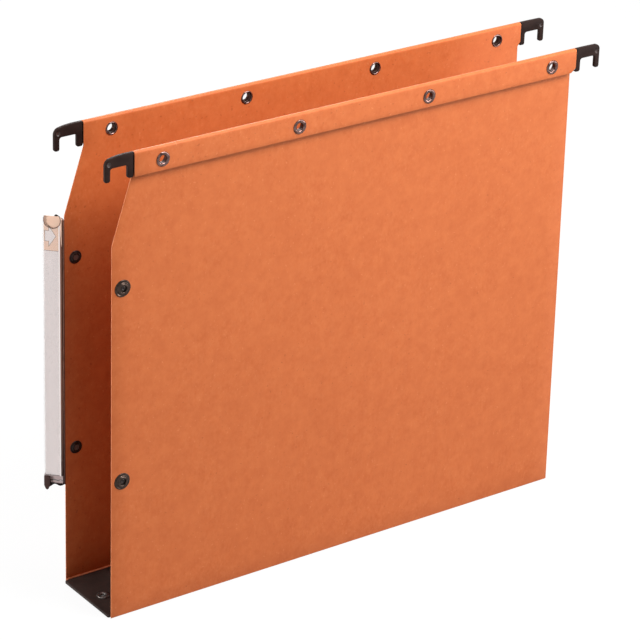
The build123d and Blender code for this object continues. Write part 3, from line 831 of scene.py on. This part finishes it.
class FOLDER_OT_card_panels(bpy.types.Operator):
    """Model the two card panels: sheet, fold over the rail, flap, holes and cut edges"""
    bl_idname = "folder.card_panels"
    bl_label = "Card Panels"

    def execute(self, context):
        sizes = context.scene.folder_card
        metal = context.scene.folder_metal
        low, high = PANEL_LOW, PANEL_HIGH
        half = sizes.thickness / 2
        sheet = high.y - half
        fold_radius = (high.y - low.y) / 2 - half
        fold_middle = (high.y + low.y) / 2
        fold_height = high.z - fold_radius - half
        flap_bottom = high.z - sizes.flap_height
        cut_bottom = flap_bottom - sizes.corner_cut

        panel = add_sheet("card_front", low.x, high.x, sheet, 0, flap_bottom)
        open_mesh(panel)
        slice_mesh((high.x, sheet, 0), (flap_bottom, 0, sizes.edge_lean), clear=True)
        run = sizes.flap_left - low.x
        slice_mesh((low.x, sheet, cut_bottom), (-sizes.corner_cut, 0, run), clear=True)

        # Strip behind the flap, then the fold over the rail, then the flap
        pick_level(panel, flap_bottom)
        extend_edges((0, 0, sizes.corner_rise))
        pick(panel, "VERT", lambda part, at: at.z > flap_bottom + half and at.x > 0)
        shift((sizes.flap_right - high.x + sizes.edge_lean, 0, 0))
        pick_level(panel, flap_bottom + sizes.corner_rise)
        extend_edges((0, 0, fold_height - flap_bottom - sizes.corner_rise))
        fold_steps = 10
        bpy.ops.mesh.spin(
            steps=fold_steps, angle=-math.pi, center=(0, fold_middle, fold_height), axis=(1, 0, 0))
        if max(v.co.z for v in bmesh.from_edit_mesh(panel.data).verts) < fold_height + fold_radius / 2:
            raise RuntimeError("the fold turned the wrong way")
        for step in range(fold_steps // 2, 0, -1):
            angle = step * math.pi / fold_steps
            rise = fold_radius * math.sin(angle)
            pick(panel, "VERT", lambda part, at: near(at.z, fold_height + rise, 2e-6))
            widen = math.cos(angle) ** (sizes.press - 1) if step < fold_steps // 2 else 1
            lift = fold_radius * (math.sin(angle) ** sizes.press - math.sin(angle))
            bpy.ops.transform.resize(value=(1, widen, 1), center_override=(0, fold_middle, 0))
            shift((0, 0, lift))
        flap = fold_middle - fold_radius
        pick(panel, "EDGE", lambda part, at: all(
            near(v.co.z, fold_height) and near(v.co.y, flap) for v in part.verts))
        extend_edges((0, 0, flap_bottom + sizes.corner_rise - fold_height))
        extend_edges((0, 0, -sizes.corner_rise))
        pick(panel, "VERT", lambda part, at: near(at.z, flap_bottom) and near(at.y, flap) and at.x > 0)
        shift((-sizes.corner_run, 0, 0))

        # Even mesh, then the bows, each at a place in shares of the sheet's size and with its share of the bow
        columns = 26
        rows = 22
        for index in range(1, columns):
            slice_mesh((low.x + (high.x - low.x) * index / columns, 0, 0), (1, 0, 0))
        for index in range(1, rows):
            slice_mesh((0, 0, flap_bottom * index / rows), (0, 0, 1))
        bows = ((0.02, 0.45, 1.0), (0.55, 0.62, -0.35), (-0.55, 0.35, 0.3))
        bow_reach = flap_bottom * 0.36
        for across, up, share in bows:
            spot = Vector((across * high.x, sheet, up * flap_bottom))
            shape = bmesh.from_edit_mesh(panel.data)
            nearest = min((v.co.copy() for v in shape.verts), key=lambda co: (co - spot).length)
            pick(panel, "VERT", lambda part, at: (at - nearest).length < 1e-6)
            bpy.ops.transform.translate(
                value=(0, -sizes.bow * share, 0), use_proportional_edit=True,
                use_proportional_connected=False, proportional_edit_falloff="SMOOTH",
                proportional_size=bow_reach)
        close_mesh()
        mend(panel)

        card_light, card_dark = (0.72, 0.26, 0.105), (0.28, 0.05, 0.014)
        edge_light, edge_dark = (0.9, 0.5, 0.32), (0.36, 0.1, 0.05)
        cards = card_material("kraft card", sizes.face_colour, card_light, card_dark, 0.54)
        edges = card_material("kraft cut edge", sizes.edge_colour, edge_light, edge_dark, 0.7)
        clothe(panel, cards, edges)
        finish_with(panel, "SOLIDIFY", thickness=sizes.thickness, offset=0, use_even_offset=True,
                    material_offset_rim=1)
        open_mesh(panel)
        pick(panel, "EDGE", lambda part, at: near(at.z, 0) and at.y < sheet - half * 0.8)
        round_edges(sizes.thickness * 0.75, 3)
        close_mesh()
        soften(panel, sizes.cut_round, 2, 60)

        # Holes for the eyelets and for the posts of the press studs
        centres, height = eyelet_centres()
        depth = 3 * (high.y - low.y)
        tools = [
            add_rod("hole", (x, fold_middle, height), metal.eyelet_hole, depth, UPRIGHT) for x in centres]
        stud_x, stud_heights = stud_places()
        tools += [add_rod("hole", (stud_x, sheet, z), metal.post_hole, depth, UPRIGHT) for z in stud_heights]
        carve(panel, join("holes", tools))
        smooth(panel, 40)
        twin = mirrored(panel, "card_back")
        smooth(twin, 40)

        # Rounded bead inside the back panel, just above its crease
        inner = -high.y
        bead_front = inner - 0.75 * MM
        bead_low = 1.2 * MM
        bead_high = 2.6 * MM
        crease = add_box(
            "crease", (low.x + half, bead_front, bead_low), (high.x - half, inner + half, bead_high))
        open_mesh(crease)
        pick(crease, "EDGE", lambda part, at: near(at.y, bead_front) and part.calc_length() > half * 9)
        round_edges(0.6 * MM, 3)
        close_mesh()
        clothe(crease, cards, edges)
        for face in crease.data.polygons:
            face.material_index = 1
        twin = join("card_back", [twin, crease])
        seat(panel, "front_leaf", "kraft_card", "front_panel")
        seat(twin, "back_leaf", "kraft_card", "back_panel")
        clothe(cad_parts["base_sheet"], cards)
        return {"FINISHED"}


class FOLDER_OT_base(bpy.types.Operator):
    """Model the base liner and its hollow rivets"""
    bl_idname = "folder.base"
    bl_label = "Base"

    def execute(self, context):
        sizes = context.scene.folder_base
        sides = context.scene.folder_metal.sides
        plate = add_box("base_liner", PLATE_LOW, PLATE_HIGH)
        open_mesh(plate)
        pick(plate, "EDGE", lambda part, at: near(part.verts[0].co.x, part.verts[1].co.x)
             and near(part.verts[0].co.y, part.verts[1].co.y))
        round_edges(sizes.corner_round, 6)
        pick_level(plate, PLATE_HIGH.z)
        round_edges(sizes.edge_round, 3)
        close_mesh()
        rim = (RIVETS_HIGH.y - RIVETS_LOW.y) / 2
        places = (RIVETS_LOW.x + rim, RIVETS_HIGH.x - rim)
        across = (RIVETS_LOW.y + RIVETS_HIGH.y) / 2
        thick = PLATE_HIGH.z - PLATE_LOW.z
        dimple_radius = 4.9 * MM
        dimple_depth = 1.0 * MM
        hole_radius = 2.1 * MM
        for x in places:
            carve(plate, add_rod("dimple", (x, across, PLATE_LOW.z), dimple_radius, dimple_depth))
            carve(plate, add_rod("hole", (x, across, PLATE_HIGH.z), hole_radius, 4 * thick))
        clothe(plate, plastic_material("base liner", sizes.liner_colour, 0.42, 1500.0, 0.5, 0.1))
        smooth(plate)
        seat(plate, "base", "black_liner", "base_plate")

        profile = [
            (2.0, 0.0), (3.7, 0.0), (3.72, 0.15), (3.67, 0.4), (3.5, 0.62), (3.22, 0.76), (2.86, 0.8),
            (2.44, 0.76), (2.04, 0.64), (1.74, 0.44), (1.56, 0.16), (1.5, -0.15), (1.5, -1.75),
            (1.62, -1.95), (1.95, -2.06), (2.5, -2.09), (3.0, -2.03), (3.32, -1.86), (3.4, -1.7),
            (2.0, -1.7),
        ]
        rivet = turned("base_rivet", profile, sides)
        place(rivet, at=(places[0], across, PLATE_HIGH.z))
        rivets = repeat("base_rivet_pair", rivet, [(places[1] - places[0], 0, 0)])
        clothe(rivets, metal_material("black lacquer", sizes.rivet_colour, 0.5, 0.33, 0.8))
        smooth(rivets)
        seat(rivets, "base", "black_rivet", "base_rivets")
        return {"FINISHED"}


class FOLDER_OT_hooks(bpy.types.Operator):
    """Model the four moulded hooks with their tongues"""
    bl_idname = "folder.hooks"
    bl_label = "Hooks"

    def hook(self, name, side, end, outer, drop, corner, sizes):
        """One hook, drawn from the end of the flap outwards."""
        low, high = HOOK_LOW, HOOK_HIGH
        reach = abs(outer - end)
        roof = low.z + sizes.notch_depth
        notch_out = outer - side * sizes.outer_leg
        notch_in = notch_out - side * sizes.notch_width
        arch_start = 0.3
        start = end + side * reach * arch_start
        piece = add_box(name, (min(end, outer), low.y, roof), (max(end, outer), high.y, high.z))
        open_mesh(piece)
        for x in (notch_in, notch_out):
            slice_mesh((x, 0, 0), (1, 0, 0))
        for near_x, far_x in ((outer, notch_out), (notch_in, end)):
            left, right = sorted((near_x, far_x))
            pick(piece, "FACE", lambda part, at: part.normal.z < -0.9 and left < at.x < right)
            extend_faces((0, 0, low.z - roof))

        def ridge(x, z):
            """Selects the edge across the hook at a place of its outline."""
            pick(piece, "EDGE", lambda part, at: near(at.x, x, 1e-6) and near(at.z, z, 1e-6)
                 and near(at.y, (low.y + high.y) / 2, 1e-6) and part.calc_length() > 1e-3)

        for x in (notch_in, notch_out):
            ridge(x, roof)
            round_edges(sizes.notch_round, 6)
        for x in (outer, notch_out, notch_in, end):
            ridge(x, low.z)
            round_edges(sizes.leg_round, 5)
        ridge(outer, high.z)
        round_edges(corner, 8)
        columns = 8
        for index in range(columns):
            slice_mesh((start + (outer - side * corner - start) * index / columns, 0, 0), (1, 0, 0))
        arc = (abs(outer - start) ** 2 + drop ** 2) / (2 * drop)
        crown = high.z - corner - 1e-6
        points = [v.co.copy() for v in bmesh.from_edit_mesh(piece.data).verts]
        for x in sorted({round(at.x, 7) for at in points if at.z > crown}):
            along = (x - start) * side
            if along > 1e-6:
                pick(piece, "VERT", lambda part, at: near(at.x, x, 2e-7) and at.z > crown)
                shift((0, 0, math.sqrt(arc ** 2 - along ** 2) - arc))
        close_mesh()
        mend(piece)
        soften(piece, sizes.edge_round, 3, 50)
        for centre in self.dots(outer, side):
            select_none()
            bpy.ops.mesh.primitive_uv_sphere_add(
                segments=48, ring_count=48, radius=DOT_RADIUS, location=centre)
            carve(piece, settle("dot"))
        # Tongue that plugs into the rail, with a hole for the flap's end eyelet
        left, right = sorted((end + side * MM, end - side * TONGUE_LENGTH))
        tongue = add_box(
            "tongue", (left, low.y + TONGUE_INSET, low.z + TONGUE_LOW),
            (right, high.y - TONGUE_INSET, low.z + TONGUE_HIGH))
        hole = (end - side * TONGUE_HOLE_IN, low.y, low.z + TONGUE_HOLE_UP)
        carve(tongue, add_rod("hole", hole, TONGUE_HOLE_RADIUS, 9 * MM, UPRIGHT))
        carve(piece, tongue, "UNION")
        smooth(piece, 35)
        return piece

    def dots(self, outer, side):
        """Centres of the two balls that press a dot into each face of a hook."""
        x = outer - side * DOT_IN
        z = HOOK_HIGH.z - DOT_DOWN
        return [(x, HOOK_LOW.y - DOT_AWAY, z), (x, HOOK_HIGH.y + DOT_AWAY, z)]

    def gloss_and_highlight_dots(self, piece, outer, side):
        """Gives the faces of the dots the second material, glossier and lighter as a painted highlight."""
        for face in piece.data.polygons:
            points = [piece.data.vertices[index].co for index in face.vertices]
            for centre in self.dots(outer, side):
                if all(near(math.dist((x, -abs(y), z), centre), DOT_RADIUS, 0.02 * MM) for x, y, z in points):
                    face.material_index = 1

    def execute(self, context):
        sizes = context.scene.folder_hook
        card = context.scene.folder_card
        moulded = plastic_material("hook plastic", sizes.body_colour, 0.4, 1800.0, 0.2, 0.04)
        # Dot material: glossier, and lighter in colour as a painted highlight
        dot = plastic_material("hook dot painted highlight", shade(sizes.body_colour, 1.5), 0.26, 1800.0, 0.2, 0.3)
        rows = (
            ("left", -1, card.flap_left, HOOK_LOW.x, sizes.left_drop, sizes.left_round),
            ("right", 1, card.flap_right, RIGHT_HOOK_END, sizes.right_drop, sizes.right_round),
        )
        pieces = [self.hook(f"hook_front_{hand}", *rest, sizes) for hand, *rest in rows]
        for piece, (hand, side, _, outer, *_) in zip(pieces, rows):
            twin = mirrored(piece, f"hook_back_{hand}")
            for item, leaf in ((piece, "front"), (twin, "back")):
                clothe(item, moulded, dot)
                self.gloss_and_highlight_dots(item, outer, side)
                smooth(item, 35)
                seat(item, f"{leaf}_leaf", "dark_hook", f"{leaf}_{hand}_hook")
        return {"FINISHED"}


class FOLDER_OT_eyelets(bpy.types.Operator):
    """Model the rolled eyelets on both flaps"""
    bl_idname = "folder.eyelets"
    bl_label = "Eyelets"

    def execute(self, context):
        sizes = context.scene.folder_metal
        stack = (PANEL_HIGH.y - PANEL_LOW.y) / MM
        profile = [
            (2.93, 0.0), (4.28, 0.0), (4.34, 0.12), (4.28, 0.33), (4.08, 0.51), (3.76, 0.63),
            (3.4, 0.67), (3.02, 0.63), (2.68, 0.5), (2.42, 0.29), (2.28, 0.04), (2.26, -0.2),
            (2.32, -0.5), (2.5, -0.9), (2.68, -1.3), (2.79, -1.7), (2.79, -stack + 1.1),
            (2.81, -stack + 0.6), (2.87, -stack + 0.15), (3.0, -stack - 0.22), (3.2, -stack - 0.44),
            (3.47, -stack - 0.53), (3.75, -stack - 0.42), (3.95, -stack - 0.2), (4.0, -stack),
            (2.93, -stack),
        ]
        first = turned("eyelets_front", profile, sizes.sides)
        centres, height = eyelet_centres()
        place(first, UPRIGHT, (centres[0], PANEL_LOW.y, height))
        front = repeat("eyelets_front", first, [(x - centres[0], 0, 0) for x in centres[1:]])
        plated = metal_material("nickel plating", sizes.nickel_colour, NICKEL_TARNISH, 0.2)
        # Inside of the barrel: dull metal, darkened as painted shade in the hole
        shaded_barrel = metal_material("dull barrel", sizes.shaded_barrel_colour, 0.5, 0.45, 0.9)
        clothe(front, plated, shaded_barrel)
        throat = 2.85 * MM
        for face in front.data.polygons:
            x, y, z = face.center
            reach = min(math.hypot(x - centre, z - height) for centre in centres)
            if reach < throat and PANEL_LOW.y < y < PANEL_HIGH.y:
                face.material_index = 1
        back = mirrored(front, "eyelets_back")
        for piece, body in ((front, "front"), (back, "back")):
            smooth(piece, 50)
            seat(piece, f"{body}_leaf", "nickel_eyelet", f"{body}_eyelets")
        return {"FINISHED"}


class FOLDER_OT_press_studs(bpy.types.Operator):
    """Model the press studs: sockets and posts in front, studs and posts behind"""
    bl_idname = "folder.press_studs"
    bl_label = "Press Studs"

    def pair(self, name, profile, turn, y, sides):
        """Two like fittings at the two heights."""
        across, heights = stud_places()
        lower = turned(name, profile, sides)
        place(lower, turn, (across, y, heights[0]))
        return repeat(name, lower, [(0, 0, heights[1] - heights[0])])

    def paint_cap_sheen(self, piece):
        """Gives the middle of each cap the second, lighter metal, a painted sheen."""
        sheen_radius = 1.9 * MM
        across, heights = stud_places()
        for face in piece.data.polygons:
            reach = min(math.hypot(face.center.x - across, face.center.z - height) for height in heights)
            if reach < sheen_radius and abs(face.center.y) < abs(PANEL_HIGH.y):
                face.material_index = 1

    def execute(self, context):
        sizes = context.scene.folder_metal
        outwards = {"front": UPRIGHT, "back": (-math.pi / 2, 0, 0)}
        bronze = metal_material("darkened bronze", sizes.bronze_colour, 0.4, 0.17, 0.85)
        blackened = metal_material("blackened cap", sizes.cap_colour, 0.5, 0.27, 0.6)
        # Lighter middle of the caps: a painted sheen
        painted_sheen = metal_material("worn cap middle", sizes.cap_sheen_colour, 0.6, 0.3, 0.4)
        inner = PANEL_HIGH.y
        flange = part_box("back_snap_studs")[0].y
        front_grip = 1.0
        back_grip = (flange + inner) / MM + 0.45

        # Profiles of radius and height in millimetres, from the card outwards
        socket = [
            (1.1, 0.0), (5.1, 0.0), (5.15, 0.1), (5.12, 0.24), (4.98, 0.38), (4.76, 0.46), (4.5, 0.44),
            (4.28, 0.34), (4.08, 0.27), (3.84, 0.27), (3.62, 0.33), (3.46, 0.5), (3.36, 0.74),
            (3.22, 0.98), (3.0, 1.18), (2.76, 1.31), (2.54, 1.35), (2.32, 1.31), (2.14, 1.2),
            (2.03, 1.04), (2.0, 0.88), (2.0, 0.7), (2.5, 0.68), (2.5, 0.4), (1.1, 0.4),
        ]
        cap = [
            (0.0, -0.58), (0.6, -0.6), (1.2, -0.66), (1.75, -0.76), (2.15, -0.8), (2.45, -0.76),
            (2.66, -0.62), (2.78, -0.48), (2.98, -0.41), (3.3, -0.43), (3.6, -0.45), (3.82, -0.38),
            (3.96, -0.22), (4.0, -0.08), (3.98, 0.0), (1.0, 0.0),
        ]
        head = [
            (1.0, 0.0), (1.33, 0.0), (1.3, 0.12), (1.15, 0.21), (0.95, 0.25), (0.78, 0.22),
            (0.62, 0.08), (0.42, -0.1), (0.2, -0.2), (0.0, -0.23),
        ]
        tail = [(1.0, 0.0), (1.33, 0.0), (1.28, 0.15), (1.0, 0.24), (0.0, 0.25)]
        stud = [
            (0.0, 0.8), (1.0, 0.8), (1.45, 0.8), (1.45, 0.45), (1.1, 0.45), (1.1, 0.0), (4.95, 0.0),
            (5.0, 0.1), (4.96, 0.24), (4.8, 0.34), (4.4, 0.38), (3.5, 0.4), (2.6, 0.43), (2.1, 0.5),
            (1.82, 0.64), (1.7, 0.8), (1.7, 1.0), (1.82, 1.06), (1.95, 1.16), (1.95, 1.7), (1.9, 1.86),
            (1.76, 1.97), (1.5, 2.0), (1.0, 1.97), (0.6, 1.9), (0.0, 1.88),
        ]
        front_post = cap + [(radius, front_grip + height) for radius, height in head]
        back_post = cap + [(radius, back_grip + height) for radius, height in tail]
        rows = (
            ("press_sockets", "front", socket, SOCKETS_HIGH.y, [bronze], "front_snap_sockets"),
            ("press_posts_front", "front", front_post, inner, [blackened, painted_sheen], "front_snap_posts"),
            ("press_studs_back", "back", stud, flange, [bronze], "back_snap_studs"),
            ("press_posts_back", "back", back_post, -inner, [blackened, painted_sheen], "back_snap_posts"),
        )
        for name, leaf, profile, y, metals, node in rows:
            piece = self.pair(name, profile, outwards[leaf], y, sizes.sides)
            clothe(piece, *metals)
            if painted_sheen in metals:
                self.paint_cap_sheen(piece)
            smooth(piece, 40)
            seat(piece, f"{leaf}_leaf", "bronze_snap", node)
        return {"FINISHED"}


class FOLDER_OT_label_holder(bpy.types.Operator):
    """Model the label carrier, its clear lens and the label"""
    bl_idname = "folder.label_holder"
    bl_label = "Label Holder"

    def execute(self, context):
        sizes = context.scene.folder_label
        turn = (0, 0, sizes.slant)
        root = (sizes.root_x, sizes.root_y, 0)
        foot = sizes.foot_bottom
        shelf = sizes.shelf_top
        width = sizes.blade_width
        web_foot = foot + 2.3 * MM
        step_back = -0.4 * MM
        step_front = 0.8 * MM
        lens_foot = shelf - 4.3 * MM
        lens_top = sizes.label_top + 0.3 * MM
        lens_start = LENS_START * MM
        lens_end = width + LENS_PAST_BLADE * MM

        # Blade with its humped top, set out along its own width and towards the viewer
        blade = add_box("blade", (0, -MM, web_foot), (width, 0, sizes.blade_top))
        open_mesh(blade)
        hump_start = 3.1 * MM
        hump_end = 6.8 * MM
        for x in (hump_start, hump_end):
            slice_mesh((x, 0, 0), (1, 0, 0))
        pick(blade, "FACE", lambda part, at: part.normal.z > 0.9 and hump_start < at.x < hump_end)
        extend_faces((0, 0, 1.3 * MM))
        bpy.ops.transform.resize(value=(0.51, 1, 1), center_override=((hump_start + hump_end) / 2, 0, 0))
        slice_mesh((0, 0, sizes.blade_top - 2 * MM), (-2 * MM, 0, hump_start), clear=True, fill=True)
        close_mesh()
        mend(blade)
        rib_start = 1.15 * MM
        rib = add_box("rib", (rib_start, step_back, web_foot), (1.6 * MM, step_front, sizes.channel_top))
        carve(blade, rib, "UNION")
        ledge = add_box("shelf", (2.25 * MM, step_back, web_foot), (width - 0.02 * MM, step_front, shelf))
        slot = add_box("slot", (2.4 * MM, 0.2 * MM, shelf - 2.9 * MM), (6.4 * MM, 2 * MM, shelf - 2.4 * MM))
        carve(ledge, slot)
        carve(blade, ledge, "UNION")

        # Foot with a wavy underside, and the finger ear in front of the lens
        boss = add_box("boss", (rib_start, -1.01 * MM, foot), (lens_end, 1.55 * MM, lens_foot - 0.1 * MM))
        open_mesh(boss)
        waves = [
            (1.15, 2.0), (2.2, 1.35), (3.4, 1.0), (4.4, 1.25), (5.4, 1.75), (6.4, 2.0), (7.4, 1.6),
            (8.4, 0.7), (9.3, 0),
        ]
        for x, rise in waves[1:]:
            slice_mesh((x * MM, 0, 0), (1, 0, 0))
        for x, rise in waves[:-1]:
            pick(boss, "VERT", lambda part, at: near(at.x, x * MM, 1e-6) and near(at.z, foot, 1e-6))
            shift((0, 0, rise * MM))
        close_mesh()
        carve(blade, boss, "UNION")
        ear_radius = 1.8
        ear_reach = 5
        ear_mid = lens_end - 2.0 * MM
        ear_up = shelf - 8.8 * MM + ear_reach * MM
        ear = add_rod("ear", (ear_mid, 1.95 * MM, ear_up), ear_radius * MM, 1.1 * MM, UPRIGHT)
        open_mesh(ear)
        pick(ear, "VERT", lambda part, at: at.z < ear_up - 1e-6)
        bpy.ops.transform.resize(value=(1, 1, ear_reach / ear_radius), center_override=(ear_mid, 0, ear_up))
        pick(ear, "VERT", lambda part, at: at.z > ear_up + 1e-6)
        bpy.ops.transform.resize(value=(1, 1, 0.1), center_override=(ear_mid, 0, ear_up))
        shift((0, 0, 3.6 * MM))
        close_mesh()
        soften(ear, 0.25 * MM, 3, 50)
        carve(blade, ear, "UNION")
        place(blade, turn, root)

        # Web along the card's edge, with the flange under the studs
        left = PANEL_LOW.x
        inner = -PANEL_HIGH.y
        outer = inner + context.scene.folder_card.thickness
        wall = 0.65 * MM
        gap = 0.05 * MM
        carrier = add_box(
            "label_carrier_moulding", (left - gap - wall, inner, web_foot),
            (left - gap, outer + gap + wall, sizes.channel_top))
        open_mesh(carrier)
        slice_mesh((0, outer + gap, 0), (0, 1, 0))
        across, heights = stud_places()
        flange_end = across + 5.5 * MM
        pick(carrier, "FACE", lambda part, at: part.normal.x > 0.9 and at.y > outer + gap and at.x < left)
        extend_faces((flange_end - left + gap, 0, 0))
        close_mesh()
        hole_radius = 1.1 * MM
        for z in heights:
            carve(carrier, add_rod("hole", (across, outer, z), hole_radius, 6 * MM, UPRIGHT))
        carve(carrier, blade, "UNION", "MANIFOLD")
        mend(carrier)
        soften(carrier, 0.12 * MM, 2, 50)
        brown = plastic_material("carrier plastic", sizes.carrier_colour, 0.38, 1700.0, 0.25, 0.06, sizes)
        clothe(carrier, brown)
        smooth(carrier, 35)
        seat(carrier, "back_leaf", "brown_carrier", "label_carrier")

        # Clear lens: a folded film with rounded upper corners and a thumb cut
        film = 0.45 * MM
        front = 0.9 * MM + film / 2
        first = lens_start + film / 2
        last = lens_end - film / 2
        wall_top = lens_top - 1.5 * MM
        lens = add_sheet("label_lens_film", first, last, front, lens_foot, wall_top)
        open_mesh(lens)
        pick(lens, "EDGE", lambda part, at: near(at.x, first))
        extend_edges((0, 0.1 * MM - front, 0))
        pick(lens, "EDGE", lambda part, at: near(at.x, last))
        extend_edges((0, -1.1 * MM - film / 2 - front, 0))
        extend_edges((lens_end - 1.2 * MM - last, 0, 0))
        pick(lens, "EDGE", lambda part, at: near(at.z, wall_top) and near(at.y, front)
             and part.calc_length() > 5 * MM)
        extend_edges((0, 0, lens_top - wall_top))
        pick(lens, "VERT", lambda part, at: near(at.z, lens_top))
        bpy.ops.mesh.bevel(offset=1.4 * MM, offset_type="OFFSET", segments=6, affect="VERTICES")
        close_mesh()
        mend(lens)
        clothe(lens, lens_material(sizes))
        finish_with(lens, "SOLIDIFY", thickness=film, offset=0, use_even_offset=True)
        thumb = ((lens_start + lens_end) / 2, front, lens_top - 2.6 * MM)
        carve(lens, add_rod("thumb", thumb, THUMB_RADIUS * MM, 2 * MM, UPRIGHT, 64))
        place(lens, turn, root)
        smooth(lens, 30)
        seat(lens, "back_leaf", "clear_lens", "label_lens")

        card = add_box(
            "label_insert", (2.9 * MM, 0.3 * MM, sizes.label_bottom),
            (width - 0.15 * MM, 0.6 * MM, sizes.label_top))
        soften(card, 0.04 * MM, 1, 50)
        place(card, turn, root)
        clothe(card, label_material(sizes))
        smooth(card)
        seat(card, "label", "label_paper", "label_card")
        return {"FINISHED"}


class FOLDER_OT_hidden_metal(bpy.types.Operator):
    """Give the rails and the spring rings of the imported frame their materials"""
    bl_idname = "folder.hidden_metal"
    bl_label = "Rails and Springs"

    def execute(self, context):
        sizes = context.scene.folder_metal
        zinc = metal_material("zinc plating", sizes.zinc_colour, 0.6, 0.34)
        for node in ("front_rail", "back_rail", "front_snap_springs"):
            clothe(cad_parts[node], zinc)
        return {"FINISHED"}


class FOLDER_OT_stage(bpy.types.Operator):
    """Set the floor, the soft lights, the surroundings and the camera"""
    bl_idname = "folder.stage"
    bl_label = "Stage"

    def soft_light(self, name, at, size, watts):
        """A large square light aimed at the middle of the folder."""
        data = bpy.data.lights.new(name, "AREA")
        data.shape = "SQUARE"
        data.size = size
        data.energy = watts
        lamp = bpy.data.objects.new(name, data)
        bpy.context.collection.objects.link(lamp)
        lamp.location = at
        lamp.rotation_euler = (LIGHT_AIM - Vector(at)).to_track_quat("-Z", "Y").to_euler()

    def seen(self, tree):
        """One where the camera, a reflection or a clear piece looks at the background."""
        ray = tree.nodes.new("ShaderNodeLightPath")
        looked_at = larger(tree, ray.outputs["Is Camera Ray"], ray.outputs["Is Glossy Ray"])
        return larger(tree, looked_at, ray.outputs["Is Transmission Ray"])

    def execute(self, context):
        sizes = context.scene.folder_stage
        select_none()
        bpy.ops.mesh.primitive_plane_add(size=FLOOR_WIDTH, location=(0, 0, -FLOOR_DOWN))
        floor = settle("stage_floor")
        pale = bpy.data.materials.new("pale floor")
        pale.use_nodes = True
        tree = pale.node_tree
        tree.nodes.clear()
        seen = self.seen(tree)
        matte = tree.nodes.new("ShaderNodeBsdfDiffuse")
        grey = math_node(tree, "MULTIPLY_ADD", seen, 1 - FLOOR_GREY, FLOOR_GREY)
        tree.links.new(grey, matte.inputs["Color"])
        glow = tree.nodes.new("ShaderNodeEmission")
        mix = tree.nodes.new("ShaderNodeMixShader")
        output = tree.nodes.new("ShaderNodeOutputMaterial")
        tree.links.new(times(tree, seen, FLOOR_GLOW), mix.inputs[0])
        tree.links.new(matte.outputs[0], mix.inputs[1])
        tree.links.new(glow.outputs[0], mix.inputs[2])
        tree.links.new(mix.outputs[0], output.inputs["Surface"])
        clothe(floor, pale)

        world = bpy.data.worlds.new("white surroundings")
        world.use_nodes = True
        context.scene.world = world
        tree = world.node_tree
        tree.nodes.clear()
        seen = self.seen(tree)
        glow = tree.nodes.new("ShaderNodeBackground")
        glow.inputs["Color"].default_value = (1, 1, 1, 1)
        output = tree.nodes.new("ShaderNodeOutputWorld")
        tree.links.new(span(tree, seen, 0.0, 1.0, sizes.ambient, 1.0), glow.inputs["Strength"])
        tree.links.new(glow.outputs[0], output.inputs["Surface"])

        for name, at, size, watts in (
                ("key_softbox", (0.95, -0.9, 1.1), 0.6, sizes.key_power),
                ("right_softbox", (1.0, -0.9, 0.12), 0.4, sizes.right_power),
                ("top_softbox", (0.15, -0.4, 0.85), 0.35, sizes.top_power),
                ("overhead_softbox", (0.0, 0.0, 1.3), 0.3, sizes.overhead_power),
                ("back_softbox", (0.4, 1.2, 0.75), 0.6, sizes.back_power),
                ("side_softbox", (-1.25, 0.3, 0.3), 0.3, sizes.side_power)):
            self.soft_light(name, at, size, watts)

        data = bpy.data.cameras.new("photo_camera")
        data.sensor_fit = "HORIZONTAL"
        data.sensor_width = 36
        data.lens = sizes.lens
        data.clip_end = 50
        camera = bpy.data.objects.new("photo_camera", data)
        context.collection.objects.link(camera)
        right = Vector((0.814778, -0.579041, 0.029131))
        up = Vector((0.224823, 0.361867, 0.904714))
        back = Vector((-0.534408, -0.730591, 0.425023))
        turn = Matrix((right, up, back)).transposed().to_4x4()
        camera.matrix_world = Matrix.Translation((-1.02113, -1.39535, 0.95291)) @ turn
        context.scene.camera = camera
        context.scene.view_settings.view_transform = "Standard"
        return {"FINISHED"}


class FOLDER_PT_parts(bpy.types.Panel):
    """Folder pieces and their settings"""
    bl_idname = "FOLDER_PT_parts"
    bl_label = "Hanging Folder"
    bl_space_type = "VIEW_3D"
    bl_region_type = "UI"
    bl_category = "Folder"

    def draw(self, context):
        for operator in OPERATORS:
            self.layout.operator(operator.bl_idname)
        for name in SETTINGS:
            box = self.layout.box()
            group = getattr(context.scene, name)
            for key in group.__annotations__:
                box.prop(group, key)


SETTINGS = {
    "folder_card": CardSizes,
    "folder_hook": HookSizes,
    "folder_metal": MetalSizes,
    "folder_base": BaseSizes,
    "folder_label": LabelSizes,
    "folder_stage": StageSizes,
}
OPERATORS = (
    FOLDER_OT_card_panels,
    FOLDER_OT_base,
    FOLDER_OT_hooks,
    FOLDER_OT_eyelets,
    FOLDER_OT_press_studs,
    FOLDER_OT_label_holder,
    FOLDER_OT_hidden_metal,
    FOLDER_OT_stage,
)


def register():
    """Registers the settings, the operators and the panel."""
    for name, group in SETTINGS.items():
        bpy.utils.register_class(group)
        setattr(bpy.types.Scene, name, PointerProperty(type=group))
    for operator in OPERATORS:
        bpy.utils.register_class(operator)
    bpy.utils.register_class(FOLDER_PT_parts)


def unregister():
    """Takes the panel, the operators and the settings away again."""
    bpy.utils.unregister_class(FOLDER_PT_parts)
    for operator in reversed(OPERATORS):
        bpy.utils.unregister_class(operator)
    for name, group in reversed(SETTINGS.items()):
        delattr(bpy.types.Scene, name)
        bpy.utils.unregister_class(group)


def main():
    register()
    make_groups()
    bpy.ops.folder.card_panels()
    bpy.ops.folder.base()
    bpy.ops.folder.hooks()
    bpy.ops.folder.eyelets()
    bpy.ops.folder.press_studs()
    bpy.ops.folder.label_holder()
    bpy.ops.folder.hidden_metal()
    bpy.ops.folder.stage()


if __name__ == "__main__":
    main()
